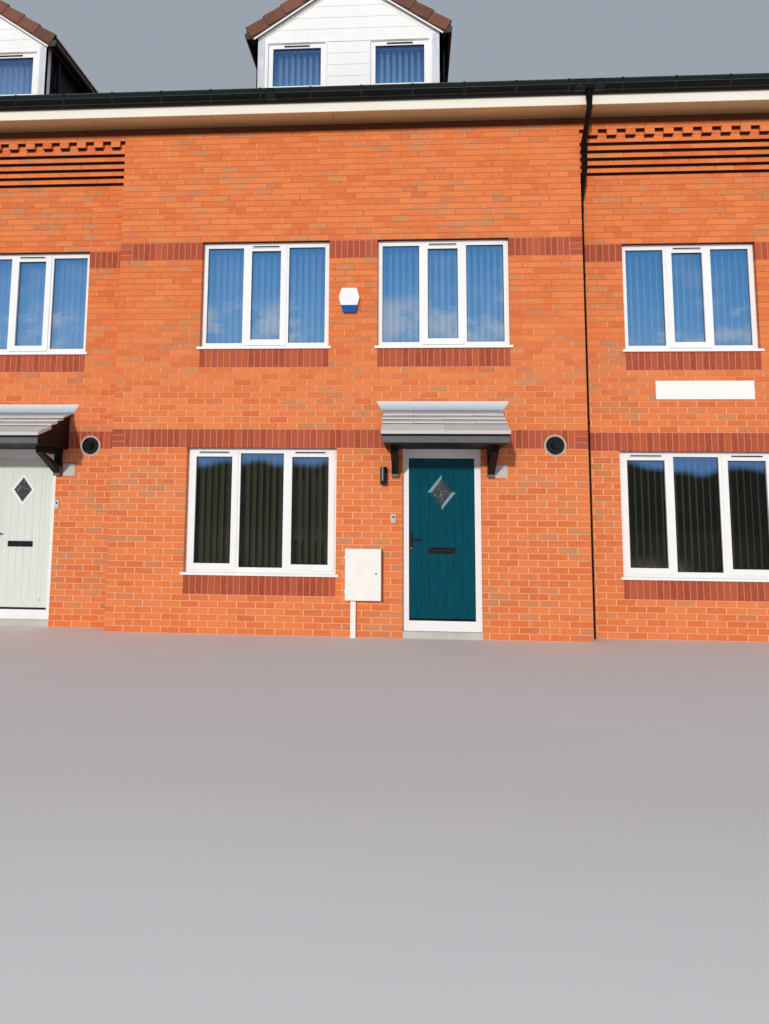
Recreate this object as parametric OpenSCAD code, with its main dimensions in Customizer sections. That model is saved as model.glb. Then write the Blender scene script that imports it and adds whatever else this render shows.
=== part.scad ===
// Row of three brick terraced houses, built from ground level up.
// X runs along the row, the street fronts face -Y and Z is up.
// The origin lies on the underside of the ground slab, in the middle of the plan.

/* [Row] */
// Width of the middle house, which stands forward
centre_w = 5660; // [5400:10:6400]
// Width of each outer house
outer_w = 4800; // [4700:10:5600]
// Depth of the middle house from front face to rear face
row_depth = 8400; // [7200:50:9600]
// How far the outer houses stand back
set_back = 332; // [200:2:450]
// Height of the wall tops, where the soffit meets the brickwork
eaves_z = 6225; // [6075:75:6675]

/* [Walls and floors] */
// Thickness of the outside walls
wall_t = 300; // [250:5:350]
// Thickness of the walls between houses
party_t = 300; // [200:5:350]
// Top of the ground floor over the ground
ground_floor_top = 170; // [150:5:175]
// Top of the first floor over the ground
first_floor_top = 2725; // [2600:25:2900]
// Top of the attic floor over the ground
attic_floor_top = 5375; // [5200:25:5500]
// Thickness of the upper floors
floor_t = 250; // [200:5:300]

/* [Brickwork] */
// Height of one brick course with its joint
course_h = 75; // [65:1:85]
// Height of an upright soldier course
soldier_h = 225; // [200:5:240]
// Thickness of the outer brick leaf that the soldier courses belong to
brick_t = 100; // [90:1:110]
// Distance between one dentil block and the next
dentil_pitch = 225; // [200:5:260]
// Width of one dentil block
dentil_w = 112; // [90:1:120]

/* [Window openings] */
// Top of the ground windows and doorways
head_z = 2175; // [2100:25:2250]
// Width of the ground windows
ground_window_w = 1810; // [1500:5:1900]
// Height of the ground windows with their sills
ground_window_h = 1500; // [1200:25:1600]
// Top of the upper windows
upper_head_z = 4725; // [4650:25:4800]
// Width of the upper windows
upper_window_w = 1585; // [1300:5:1700]
// Height of the upper windows with their sills
upper_window_h = 1350; // [1050:25:1450]
// Left corner of the middle house to the centre of its ground window and first upper window
centre_window_x = 1830; // [1500:5:1900]
// Left corner of the middle house to the centre of its second upper window
centre_window_2_x = 4000; // [3800:5:4100]
// Left corner of an outer house to the centre of its ground window and first upper window
outer_window_x = 1330; // [1290:5:1400]
// Right corner of an outer house to the centre of its second upper window
outer_window_2_in = 1310; // [1250:5:1500]

/* [Doorways] */
// Width of the doorways
door_w = 920; // [880:5:960]
// Height of the step under a door frame
door_base = 75; // [50:5:90]
// Left corner of the middle house to the centre of its doorway
centre_door_x = 3970; // [3800:5:4100]
// Right corner of an outer house to the centre of its doorway
outer_door_in = 1275; // [1200:5:1400]

/* [Frames] */
// How far frames stand back from the face of the wall
frame_set = 80; // [40:5:110]
// Depth of window and door frames
frame_d = 70; // [60:1:90]
// Face width of a frame bar
bar_w = 60; // [45:1:75]
// Face width of the bars of an opening light
sash_w = 42; // [30:1:55]
// How far an opening light stands proud of its frame
sash_proud = 12; // [6:1:20]
// Thickness of the sealed glass unit
glass_t = 24; // [18:1:28]
// Height of a window sill
sill_h = 30; // [20:1:45]
// How far a sill stands out from the wall
sill_reach = 28; // [15:1:50]

/* [Doors] */
// Face width of the door frame jambs
jamb_w = 75; // [60:1:90]
// Face height of the door frame head
door_head_h = 110; // [70:5:120]
// Height of the bottom rail under the door leaf
threshold_h = 115; // [105:1:130]
// Thickness of a door leaf
leaf_t = 44; // [40:1:50]
// How far the leaf laps behind the edge of its frame
leaf_lap = 8; // [5:1:12]
// Running gap round a door leaf
door_gap = 7; // [6.5:0.5:8]
// Thickness of the frame edge in front of the leaf
stop_t = 18; // [14:1:22]
// Radius of the hinge barrels
barrel_r = 6; // [5:0.5:7]
// Diagonal of the diamond light
diamond = 330; // [260:5:380]
// Centre of the diamond light over the ground
diamond_z = 1665; // [1500:5:1750]
// Width of the letter plate
plate_w = 320; // [280:5:340]
// Height of the letter plate
plate_h = 70; // [66:1:80]
// Centre of the letter plate over the ground
plate_z = 990; // [850:5:1050]
// Spindle of the lever over the ground
lever_z = 1115; // [1080:5:1150]
// Length of the lever from its spindle
lever_l = 120; // [100:5:140]

/* [Eaves] */
// Reach of the soffit from the middle front to the outer face of the fascia
soffit_reach = 370; // [300:5:450]
// Height of the fascia board
fascia_h = 260; // [200:5:280]
// Thickness of the fascia and soffit boards
board_t = 18; // [12:1:25]
// Width of the eaves gutter
gutter_w = 125; // [100:1:150]
// Depth of the eaves gutter
gutter_h = 120; // [90:1:140]
// Drop of the gutter rim below the top of the fascia
gutter_drop = 0; // [0:5:40]
// Thickness of the gutter wall
gutter_t = 5; // [4:0.5:8]
// Radius of the downpipe
pipe_r = 34; // [30:1:40]

/* [Roof] */
// Pitch of the main roof
roof_pitch = 25; // [20:0.5:28]
// Thickness of the roof from rafter to tile
roof_t = 180; // [140:5:220]
// Reach of the roof past the end walls
verge_reach = 40; // [20:5:80]
// Radius of the ridge tiles
ridge_r = 125; // [100:5:150]
// Length of one ridge tile
ridge_l = 450; // [400:10:500]

/* [Dormers] */
// Width of a dormer front
dormer_w = 2380; // [2240:10:2440]
// Distance of the dormer fronts behind the middle front
dormer_set = 300; // [250:10:450]
// Drop of the dormer ridges below the main ridge
dormer_ridge_drop = 75; // [60:5:150]
// Pitch of the dormer roofs
dormer_pitch = 34; // [30:0.5:34]
// Reach of a dormer roof in front of its gable
dormer_verge = 100; // [60:5:200]
// Reach of a dormer roof past its cheeks
dormer_eaves = 116; // [100:2:130]
// Thickness of the dormer roof with its tiles
dormer_roof_t = 150; // [120:5:160]
// Thickness of the dormer walls
dormer_wall_t = 120; // [100:5:150]
// Width of a dormer window
dormer_window_w = 750; // [600:5:800]
// Foot of a dormer window over the tiles in front of it
dormer_sill_gap = 53; // [40:1:120]
// Drop of the dormer window heads below the tile edge
dormer_head_drop = 170; // [150:5:250]
// Centre of a dormer window from the middle of the dormer
dormer_window_x = 671; // [500:1:690]
// Height of the bargeboards
barge_h = 60; // [50:5:120]
// Width of the gutters at the dormer eaves
dormer_gutter_w = 80; // [70:1:90]
// Left corner of the middle house to the middle of its dormer
centre_dormer_x = 2805; // [2700:5:2900]
// Left corner of an outer house to the middle of its dormer
outer_dormer_x = 2380; // [2300:5:2450]

/* [Canopies] */
// Width of a canopy over its tiles
canopy_w = 1376; // [1250:2:1450]
// Reach of a canopy from the wall to the tile edge
canopy_reach = 1000; // [800:10:1100]
// Pitch of a canopy roof
canopy_pitch = 19; // [15:0.5:22]
// Height of the tile edge over the ground
canopy_z = 2245; // [2240:5:2300]
// Number of tile rows on a canopy
canopy_rows = 4; // [3:1:6]
// Thickness of a canopy tile
canopy_tile_t = 26; // [18:1:32]
// Height of the canopy fascia
canopy_fascia_h = 75; // [60:1:90]
// How far the middle canopy's centre lies to the right of its doorway's centre
centre_canopy_off = 12; // [0:1:20]
// How far an outer canopy's centre lies to the left of its doorway's centre
outer_canopy_off = 65; // [0:5:125]
// Length of the lowest row of tiles
canopy_eaves_row = 370; // [200:10:400]
// Length of the uppermost row of tiles with the part under the lead
canopy_top_row = 270; // [200:10:300]
// Distance between the two brackets of a canopy
bracket_pitch = 1110; // [1080:2:1112]
// Width of a bracket
bracket_w = 78; // [60:2:80]
// Thickness of a bracket's timbers
bracket_t = 75; // [55:1:90]
// Height of a bracket's foot over the ground
bracket_foot_z = 1840; // [1700:5:1900]
// Reach of the bracket strut from the wall
bracket_reach = 640; // [500:10:700]
// Width of the lead flashing
flashing_w = 1560; // [1460:5:1650]
// Top of the lead flashing over the ground
flashing_z = 2735; // [2700:5:2790]
// Thickness of the lead
lead_t = 6; // [4:1:10]

/* [Wall fittings] */
// Centre of the meter box to the left of the middle doorway's centre
meter_off = 909; // [850:1:980]
// Width of the meter box
meter_w = 410; // [380:5:430]
// Height of the meter box
meter_h = 580; // [540:5:620]
// Bottom of the meter box over the ground
meter_z = 427; // [380:1:480]
// Depth of the meter box in front of the wall
meter_d = 150; // [100:5:210]
// Thickness of the meter box shell and its door
meter_t = 8; // [6:1:12]
// Radius of the flue terminal
flue_r = 52; // [45:1:60]
// Height of the flue terminals over the ground
flue_z = 2215; // [2100:5:2300]
// Right corner of the middle house to its flue terminal
centre_flue_in = 375; // [280:5:420]
// Right corner of the left house to its flue terminal
left_flue_in = 393; // [300:1:450]
// Left corner of the middle house to the alarm box
alarm_x = 2871; // [2850:1:2900]
// Centre of the alarm box over the ground
alarm_z = 3960; // [3900:5:4050]
// Wall light to the left of the middle doorway's centre
lamp_off = 678; // [650:1:690]
// Centre of the wall light over the ground
lamp_z = 1849; // [1750:1:1900]
// Width of the name board
sign_w = 1142; // [900:2:1200]
// Height of the name board
sign_h = 222; // [150:2:240]
// Left corner of the right house to the centre of the name board
sign_x = 1448; // [1300:1:1500]
// Centre of the name board over the ground
sign_z = 2909; // [2800:1:3000]

// Centre of a number plate over the ground
number_z = 1912; // [1850:1:2000]
// Side of a number plate
number_w = 150; // [120:5:170]
// Number plate to the right of the middle doorway's centre
centre_number_off = 686; // [670:1:700]
// Number plate to the right of the left doorway's centre
left_number_off = 626; // [600:1:700]
// Doorbell to the left of the middle doorway's centre
centre_bell_off = 565; // [540:1:580]
// Middle doorbell over the ground
centre_bell_z = 1357; // [1200:1:1450]
// Doorbell to the right of the left doorway's centre
left_bell_off = 493; // [488:1:540]
// Left doorbell over the ground
left_bell_z = 1485; // [1300:1:1600]

/* [Hidden] */
$fn = 32;

HOUSES = [0, 1, 2];
OUTER = [0, 2];
DORMERS = [0, 1];
// A cut runs this far past the faces that it opens
past = 1;
// Sloping faces that rest on each other stand this far apart
seat_gap = 0.3;

front_y = -row_depth / 2;
outer_front_y = front_y + set_back;
rear_y = row_depth / 2;
half_row = centre_w / 2 + outer_w;

function house_left(i) = i == 0 ? -half_row : i == 1 ? -centre_w / 2 : centre_w / 2;
function house_w(i) = i == 1 ? centre_w : outer_w;
function house_right(i) = house_left(i) + house_w(i);
function house_front(i) = i == 1 ? front_y : outer_front_y;
function window_x(i) = house_left(i) + (i == 1 ? centre_window_x : outer_window_x);
function window_2_x(i) = i == 1 ? house_left(i) + centre_window_2_x : house_right(i) - outer_window_2_in;
function door_x(i) = i == 1 ? house_left(i) + centre_door_x : house_right(i) - outer_door_in;
function canopy_x(i) = door_x(i) + (i == 1 ? centre_canopy_off : -outer_canopy_off);
function flue_x(i) = house_right(i) - (i == 1 ? centre_flue_in : left_flue_in);
function dormer_x(i) = house_left(i) + (i == 1 ? centre_dormer_x : outer_dormer_x);
// Inner faces of the walls at the two sides of a house
function room_left(i) = house_left(i) + (i == 2 ? 0 : i == 0 ? wall_t : party_t);
function room_right(i) = house_right(i) - (i == 0 ? 0 : i == 2 ? wall_t : party_t);

ground_sill_z = head_z - ground_window_h;
upper_sill_z = upper_head_z - upper_window_h;

// Roof planes
soffit_top = eaves_z + board_t;
fascia_back = front_y - soffit_reach + board_t;
slope = tan(roof_pitch);
roof_drop = roof_t / cos(roof_pitch);
fascia_top = eaves_z + fascia_h;
function roof_top(y) = fascia_top + (soffit_reach - abs(front_y)) * slope
    + (2 * abs(front_y) - abs(y)) * slope;
function roof_under(y) = roof_top(y) - roof_drop;

module block(x0, x1, y0, y1, z0, z1) {
    translate([x0, y0, z0]) cube([x1 - x0, y1 - y0, z1 - z0]);
}

// A profile drawn with x as depth and y as height, run along X
module run_x(x0, x1) {
    translate([x0, 0, 0])
        rotate([90, 0, 90])
            linear_extrude(x1 - x0) children();
}

// A round bar between two points
module rod(from, to, r) {
    run = to - from;
    length = norm(run);
    translate(from)
        rotate([0, acos(run[2] / length), atan2(run[1], run[0])])
            cylinder(h = length, r = r);
}

module wall_opening(x, w, y, z0, z1) {
    block(x - w / 2, x + w / 2, y - past, y + wall_t + past, z0, z1);
}

// Soldier courses: a band over the ground openings, a band cut by the upper windows
// and a strip under each window
module soldier_strips(i, grow = 0) {
    y = house_front(i);
    deep = brick_t;
    x0 = house_left(i);
    x1 = house_right(i);
    block(x0 - grow, x1 + grow, y - grow, y + deep, head_z, head_z + soldier_h);
    difference() {
        block(x0 - grow, x1 + grow, y - grow, y + deep, upper_head_z - soldier_h, upper_head_z);
        for (x = [window_x(i), window_2_x(i)])
            wall_opening(x, upper_window_w, y - grow, upper_sill_z, upper_head_z + past);
    }
    for (x = [window_x(i), window_2_x(i)])
        block(x - upper_window_w / 2, x + upper_window_w / 2, y - grow, y + deep,
            upper_sill_z - soldier_h, upper_sill_z);
    block(window_x(i) - ground_window_w / 2, window_x(i) + ground_window_w / 2,
        y - grow, y + deep, ground_sill_z - soldier_h, ground_sill_z);
}

// Ground storey of a front between two x positions, with the window opening
module lower_wall(i, x0, x1, has_window = true) {
    y = house_front(i);
    difference() {
        block(x0, x1, y, y + wall_t, 0, head_z);
        if (has_window) {
            wall_opening(window_x(i), ground_window_w, y, ground_sill_z, head_z + past);
            soldier_strips(i, past);
        }
    }
}

module upper_wall(i) {
    y = house_front(i);
    difference() {
        block(house_left(i), house_right(i), y, y + wall_t, head_z, eaves_z);
        for (x = [window_x(i), window_2_x(i)])
            wall_opening(x, upper_window_w, y, upper_sill_z, upper_head_z);
        soldier_strips(i, past);
    }
}

module window_wall(i) {
    lower_wall(i, house_left(i), door_x(i) - door_w / 2);
}

module door_pier(i) {
    lower_wall(i, door_x(i) + door_w / 2, house_right(i), false);
}

module left_window_wall() { color("chocolate") window_wall(0); }
module left_door_pier() { color("chocolate") door_pier(0); }
module left_upper_wall() { color("chocolate") upper_wall(0); }
module centre_window_wall() { color("chocolate") window_wall(1); }
module centre_door_pier() { color("chocolate") door_pier(1); }
module centre_upper_wall() { color("chocolate") upper_wall(1); }

module right_lower_wall() {
    color("chocolate") {
        window_wall(2);
        door_pier(2);
    }
}

module right_upper_wall() { color("chocolate") upper_wall(2); }

module soldier_courses() {
    color("sienna")
        for (i = HOUSES)
            soldier_strips(i);
}

// Corbelled panel under the eaves of an outer house: five courses that step out,
// a dentil course and two courses in line with the front of the middle house
corbel_steps = 5;
corbel_courses = corbel_steps + 3;
corbel_out = set_back / (corbel_steps + 1);
corbel_z = eaves_z - corbel_courses * course_h;
corbel_profile = [
    [0, corbel_z],
    for (k = [1 : corbel_steps]) each [
        [-k * corbel_out, corbel_z + (k - 1) * course_h],
        [-k * corbel_out, corbel_z + (k == corbel_steps ? k + 1 : k) * course_h]],
    [-set_back, corbel_z + (corbel_steps + 1) * course_h],
    [-set_back, eaves_z],
    [0, eaves_z]];

module corbel_panel(i) {
    dentil_z = corbel_z + corbel_steps * course_h;
    translate([0, outer_front_y, 0])
        run_x(house_left(i), house_right(i)) polygon(corbel_profile);
    for (x = [house_left(i) + dentil_w : dentil_pitch : house_right(i) - dentil_w])
        block(x, x + dentil_w, front_y, outer_front_y, dentil_z, dentil_z + course_h);
}

module corbel_panels() {
    color("chocolate")
        for (i = OUTER)
            corbel_panel(i);
}

// Floors
module floor_slab(i, z0, z1) {
    block(room_left(i), room_right(i), house_front(i) + wall_t, rear_y - wall_t, z0, z1);
}

module ground_floor() {
    color("lightgray")
        for (i = HOUSES) {
            floor_slab(i, 0, ground_floor_top);
            // Step in the front doorway, lower in front of the frame's back face
            x0 = door_x(i) - door_w / 2;
            x1 = door_x(i) + door_w / 2;
            y = house_front(i);
            block(x0, x1, y, y + wall_t, 0, door_base);
            block(x0, x1, y + frame_set + frame_d, y + wall_t, 0, ground_floor_top);
            // Step in the rear doorway
            block(x0, x1, rear_y - wall_t, rear_y, 0, door_base);
            block(x0, x1, rear_y - wall_t, rear_y - frame_set - frame_d, 0, ground_floor_top);
        }
}

module first_floor() {
    color("burlywood")
        for (i = HOUSES)
            floor_slab(i, first_floor_top - floor_t, first_floor_top);
}

module attic_floor() {
    color("burlywood")
        for (i = HOUSES)
            floor_slab(i, attic_floor_top - floor_t, attic_floor_top);
}

// Walls that reach the underside of the roof
module gable_wall(x0, x1, y0, y1) {
    run_x(x0, x1)
        polygon([[y0, 0], [y1, 0], for (y = [y1, 0, y0]) [y, roof_under(y) - seat_gap]]);
}

module party_walls() {
    y1 = rear_y - wall_t;
    color("lightgray")
        for (side = [-1, 1])
            difference() {
                x = side * (centre_w / 2 - party_t / 2);
                gable_wall(x - party_t / 2, x + party_t / 2, front_y + wall_t, y1);
                // The thick foot of the roof lies over the front of the wall
                block(x - party_t, x + party_t, front_y, outer_front_y + wall_t, soffit_top, 2 * eaves_z);
            }
}

module end_walls() {
    color("chocolate")
        for (side = [-1, 1]) {
            x = side * (half_row - wall_t / 2);
            gable_wall(x - wall_t / 2, x + wall_t / 2, outer_front_y + wall_t, rear_y - wall_t);
        }
}

// Rear elevation: one door and one window below, two windows above, in each house
module rear_wall(i) {
    y = rear_y - wall_t;
    difference() {
        block(house_left(i), house_right(i), y, rear_y, 0, eaves_z);
        wall_opening(window_x(i), ground_window_w, y, ground_sill_z, head_z);
        wall_opening(door_x(i), door_w, y, -past, head_z);
        for (x = [window_x(i), window_2_x(i)])
            wall_opening(x, upper_window_w, y, upper_sill_z, upper_head_z);
    }
}

module left_rear_wall() { color("chocolate") rear_wall(0); }
module centre_rear_wall() { color("chocolate") rear_wall(1); }
module right_rear_wall() { color("chocolate") rear_wall(2); }

// Main roof
module dormer_hole(i) {
    x = dormer_x(i);
    half = dormer_w / 2 - dormer_wall_t;
    y0 = front_y + dormer_set + dormer_wall_t;
    y1 = front_y + (dormer_under(half) - roof_top(front_y)) / slope - roof_t;
    block(x - half, x + half, y0, y1, eaves_z, dormer_eaves_z);
}

module roof_front() {
    y0 = fascia_back;
    y1 = outer_front_y + wall_t;
    color("saddlebrown")
        difference() {
            run_x(-half_row - verge_reach, half_row + verge_reach)
                polygon([[y0, soffit_top], [y1, soffit_top], [y1, roof_under(y1)],
                    [0, roof_under(0)], [0, roof_top(0)], [y0, roof_top(y0)]]);
            for (i = DORMERS)
                dormer_hole(i);
        }
}

module roof_rear() {
    y0 = -fascia_back;
    y1 = rear_y - wall_t;
    color("saddlebrown")
        run_x(-half_row - verge_reach, half_row + verge_reach)
            polygon([[y0, soffit_top], [y0, roof_top(y0)], [0, roof_top(0)],
                [0, roof_under(0)], [y1, roof_under(y1)], [y1, soffit_top]]);
}

// Half-round ridge tiles with sunk mortar joints between them
module ridge_tiles() {
    half = half_row + verge_reach;
    joint = 10;
    count = ceil(2 * half / ridge_l);
    pitch = 2 * half / count;
    top = roof_top(0);
    color("maroon")
        difference() {
            union() {
                run_x(-half, half) translate([0, top - ridge_r / 2]) circle(ridge_r - joint / 2);
                for (k = [0 : count - 1])
                    run_x(-half + k * pitch + (k == 0 ? 0 : joint / 2),
                        -half + (k + 1) * pitch - (k == count - 1 ? 0 : joint / 2))
                        translate([0, top - ridge_r / 2]) circle(ridge_r);
            }
            run_x(-half - past, half + past)
                translate([0, seat_gap])
                    polygon([[-2 * ridge_r, roof_top(2 * ridge_r)], [0, top],
                        [2 * ridge_r, roof_top(2 * ridge_r)],
                        [2 * ridge_r, top - 4 * ridge_r], [-2 * ridge_r, top - 4 * ridge_r]]);
        }
}

// Eaves boards, front and rear
module fascias() {
    color("ivory")
        for (side = [0, 1])
            mirror([0, side, 0])
                block(-half_row - verge_reach, half_row + verge_reach,
                    front_y - soffit_reach, fascia_back, eaves_z, fascia_top);
}

module soffits() {
    color("ivory")
        for (side = [0, 1])
            mirror([0, side, 0])
                for (i = HOUSES) {
                    wall_face = side == 1 ? front_y : house_front(i);
                    block(house_left(i) - (i == 0 ? verge_reach : 0),
                        house_right(i) + (i == 2 ? verge_reach : 0),
                        fascia_back, wall_face + wall_t, eaves_z, soffit_top);
                }
}

// Gutter section: straight sides over a half-round bottom
module gutter_shape(w, h, t) {
    r = w / 2;
    difference() {
        union() {
            translate([-r, r - h]) square([w, h - r]);
            translate([0, r - h]) circle(r);
        }
        translate([-r + t, r - h]) square([w - 2 * t, h]);
        translate([0, r - h]) circle(r - t);
    }
}

gutter_rim = fascia_top - gutter_drop;
gutter_y = front_y - soffit_reach - gutter_w / 2;

module dormer_gutter_run(i, side) {
    w = dormer_gutter_w;
    rim = dormer_eaves_z - dormer_tile_end;
    x = dormer_x(i) + side * (dormer_box_half + w / 2);
    y0 = front_y + dormer_set - dormer_verge;
    y1 = front_y + (rim - w - roof_top(front_y)) / slope;
    translate([x, y0, rim])
        rotate([90, 0, 180])
            linear_extrude(y1 - y0)
                gutter_shape(w, w, gutter_t);
}

module gutters() {
    color("#202020") {
        for (side = [0, 1])
            mirror([0, side, 0])
                run_x(-half_row - verge_reach, half_row + verge_reach)
                    translate([gutter_y, gutter_rim])
                        gutter_shape(gutter_w, gutter_h, gutter_t);
        for (i = DORMERS, side = [-1, 1])
            dormer_gutter_run(i, side);
    }
}

// Downpipe: out of the gutter, back under the soffit, down the corbelled panel,
// back to the recessed wall and down to the ground
pipe_gap = 14;
bend_t = 4;
pipe_x = centre_w / 2 + pipe_r + pipe_gap;
pipe_in_y = front_y - pipe_r - pipe_gap;
pipe_wall_y = outer_front_y - pipe_r - pipe_gap;

module pipe_run(points) {
    for (k = [0 : len(points) - 2])
        rod(points[k], points[k + 1], pipe_r);
    for (k = [1 : len(points) - 2])
        translate(points[k]) sphere(pipe_r + bend_t);
}

// The pipe is set back by this much height at each swan neck
neck_h = 270;
socket_h = 90;
clip_h = 30;
clip_z = 700;
clip_pitch = 1800;

module pipe_socket(x, y, z) {
    translate([x, y, z]) cylinder(h = socket_h, r = pipe_r + bend_t + 2);
}

module pipe_clips(y, wall_y) {
    for (z = [clip_z : clip_pitch : upper_head_z])
        translate([pipe_x, 0, z]) {
            block(-clip_h * 0.75, clip_h * 0.75, y, wall_y, 0, clip_h);
            translate([0, y, 0]) cylinder(h = clip_h, r = pipe_r + bend_t);
        }
}

module downpipes() {
    gutter_bottom = gutter_rim - gutter_h;
    neck_z = eaves_z - 60;
    low_neck_z = corbel_z - 60;
    color("#202020") {
        pipe_run([[pipe_x, gutter_y, gutter_bottom], [pipe_x, gutter_y, neck_z],
            [pipe_x, pipe_in_y, neck_z - neck_h], [pipe_x, pipe_in_y, low_neck_z],
            [pipe_x, pipe_wall_y, low_neck_z - neck_h - 60], [pipe_x, pipe_wall_y, 0]]);
        pipe_socket(pipe_x, gutter_y, gutter_bottom - socket_h);
        pipe_socket(pipe_x, pipe_in_y, neck_z - neck_h - socket_h - 30);
        pipe_socket(pipe_x, pipe_wall_y, low_neck_z - neck_h - 2 * socket_h);
        pipe_clips(pipe_wall_y, outer_front_y);
        // Rear pipe, plain from the gutter to the ground
        mirror([0, 1, 0]) {
            pipe_run([[pipe_x, gutter_y, gutter_bottom], [pipe_x, gutter_y, neck_z],
                [pipe_x, pipe_in_y, neck_z - neck_h], [pipe_x, pipe_in_y, 0]]);
            pipe_clips(pipe_in_y, front_y);
        }
    }
}

// Dormers
dormer_slope = tan(dormer_pitch);
dormer_drop = dormer_roof_t / cos(dormer_pitch);
dormer_front_y = front_y + dormer_set;
dormer_half = dormer_w / 2 + dormer_eaves;
dormer_ridge_z = roof_top(0) - dormer_ridge_drop;
dormer_eaves_z = dormer_ridge_z - dormer_half * dormer_slope;
dormer_head_z = dormer_eaves_z - dormer_head_drop;
dormer_window_h = dormer_head_z - roof_top(dormer_front_y) - dormer_sill_gap;
// The tile end is square to the slope, over an upright eaves board that carries the gutter
dormer_tile_end = 65;
dormer_box_half = dormer_half - dormer_tile_end * dormer_slope;

// Everything under the top face of the main roof
module under_roof() {
    run_x(-half_row - verge_reach, half_row + verge_reach)
        translate([0, seat_gap])
            polygon([[2 * front_y, roof_top(2 * front_y)], [0, roof_top(0)],
                [-2 * front_y, roof_top(2 * front_y)], [-2 * front_y, 0], [2 * front_y, 0]]);
}

// A shape drawn across the dormer, run from y0 back to y1
module run_y(x, y0, y1) {
    translate([x, y1, 0])
        rotate([90, 0, 0])
            linear_extrude(y1 - y0) children();
}

function dormer_under(x) = dormer_ridge_z - dormer_drop - abs(x) * dormer_slope;

module dormer_front(i) {
    half = dormer_w / 2;
    top = dormer_head_z;
    difference() {
        run_y(dormer_x(i), dormer_front_y, dormer_front_y + dormer_wall_t)
            polygon([[-half, fascia_top], [half, fascia_top], [half, dormer_under(half)],
                [0, dormer_under(0)], [-half, dormer_under(half)]]);
        for (side = [-1, 1]) {
            x = dormer_x(i) + side * dormer_window_x;
            wall_opening(x, dormer_window_w, dormer_front_y, top - dormer_window_h, top);
        }
        under_roof();
    }
}

module dormer_fronts() {
    color("white")
        for (i = DORMERS)
            dormer_front(i);
}

module dormer_cheeks() {
    half = dormer_w / 2;
    color("#303236")
        for (i = DORMERS, side = [0, 1])
            translate([dormer_x(i), 0, 0])
                mirror([side, 0, 0])
                    difference() {
                        block(half - dormer_wall_t, half, dormer_front_y + dormer_wall_t, 0,
                            fascia_top, dormer_under(half));
                        under_roof();
                    }
}

module dormer_roofs() {
    half = dormer_half;
    box = dormer_box_half;
    color("saddlebrown")
        for (i = DORMERS)
            difference() {
                run_y(dormer_x(i), dormer_front_y - dormer_verge, 0)
                    polygon([[0, dormer_ridge_z], [half, dormer_eaves_z],
                        [box, dormer_eaves_z - dormer_tile_end], [box, dormer_under(box)],
                        [0, dormer_under(0)],
                        [-box, dormer_under(box)], [-box, dormer_eaves_z - dormer_tile_end],
                        [-half, dormer_eaves_z]]);
                under_roof();
            }
}

module dormer_bargeboards() {
    half = dormer_w / 2;
    y1 = dormer_front_y;
    color("white")
        for (i = DORMERS)
            run_y(dormer_x(i), y1 - board_t, y1)
                polygon([[-half, dormer_under(half)], [0, dormer_under(0)], [half, dormer_under(half)],
                    [half, dormer_under(half) - barge_h], [0, dormer_under(0) - barge_h],
                    [-half, dormer_under(half) - barge_h]]);
}

// Windows
// A frame of side-by-side lights; opening lights carry a proud sash
module window_frame(x, y, z0, w, h, lights, opening_lights) {
    light_w = (w - (lights + 1) * bar_w) / lights;
    translate([x - w / 2, y, z0])
        difference() {
            union() {
                cube([w, frame_d, h]);
                for (k = opening_lights)
                    translate([k * (light_w + bar_w) + bar_w / 2, -sash_proud, bar_w / 2])
                        cube([light_w + bar_w, sash_proud + past, h - bar_w]);
            }
            for (k = [0 : lights - 1]) {
                rim = len([for (o = opening_lights) if (o == k) o]) > 0 ? sash_w : 0;
                translate([bar_w + k * (light_w + bar_w) + rim, -2 * sash_proud, bar_w + rim])
                    cube([light_w - 2 * rim, frame_d + 3 * sash_proud, h - 2 * bar_w - 2 * rim]);
            }
            // Space for the glass and behind it
            translate([bar_w, glass_set, bar_w])
                cube([w - 2 * bar_w, frame_d, h - 2 * bar_w]);
        }
}

glass_set = frame_d - glass_t - 16;

module window_glass(x, y, z0, w, h) {
    block(x - w / 2 + bar_w, x + w / 2 - bar_w, y + glass_set, y + glass_set + glass_t,
        z0 + bar_w, z0 + h - bar_w);
}

module ground_window_frames() {
    color("white")
        for (i = HOUSES)
            window_frame(window_x(i), house_front(i) + frame_set, ground_sill_z + sill_h,
                ground_window_w, ground_window_h - sill_h, 3, [0, 2]);
}

module upper_window_frames() {
    color("white")
        for (i = HOUSES, x = [window_x(i), window_2_x(i)])
            window_frame(x, house_front(i) + frame_set, upper_sill_z + sill_h,
                upper_window_w, upper_window_h - sill_h, 3, [1]);
}

module dormer_window_frames() {
    color("white")
        for (i = DORMERS, side = [-1, 1])
            window_frame(dormer_x(i) + side * dormer_window_x, dormer_front_y + dormer_frame_set,
                dormer_head_z - dormer_window_h, dormer_window_w, dormer_window_h, 1, []);
}

dormer_frame_set = 25;

module front_glass() {
    color("#5b7f96") {
        for (i = HOUSES) {
            window_glass(window_x(i), house_front(i) + frame_set, ground_sill_z + sill_h,
                ground_window_w, ground_window_h - sill_h);
            for (x = [window_x(i), window_2_x(i)])
                window_glass(x, house_front(i) + frame_set, upper_sill_z + sill_h,
                    upper_window_w, upper_window_h - sill_h);
        }
        for (i = DORMERS, side = [-1, 1])
            window_glass(dormer_x(i) + side * dormer_window_x, dormer_front_y + dormer_frame_set,
                dormer_head_z - dormer_window_h, dormer_window_w, dormer_window_h);
        translate([door_x(2), outer_front_y, 0]) door_glass();
    }
}

// The rear repeats the front's windows, seen from the other side
module at_rear() {
    mirror([0, 1, 0]) children();
}

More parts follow.
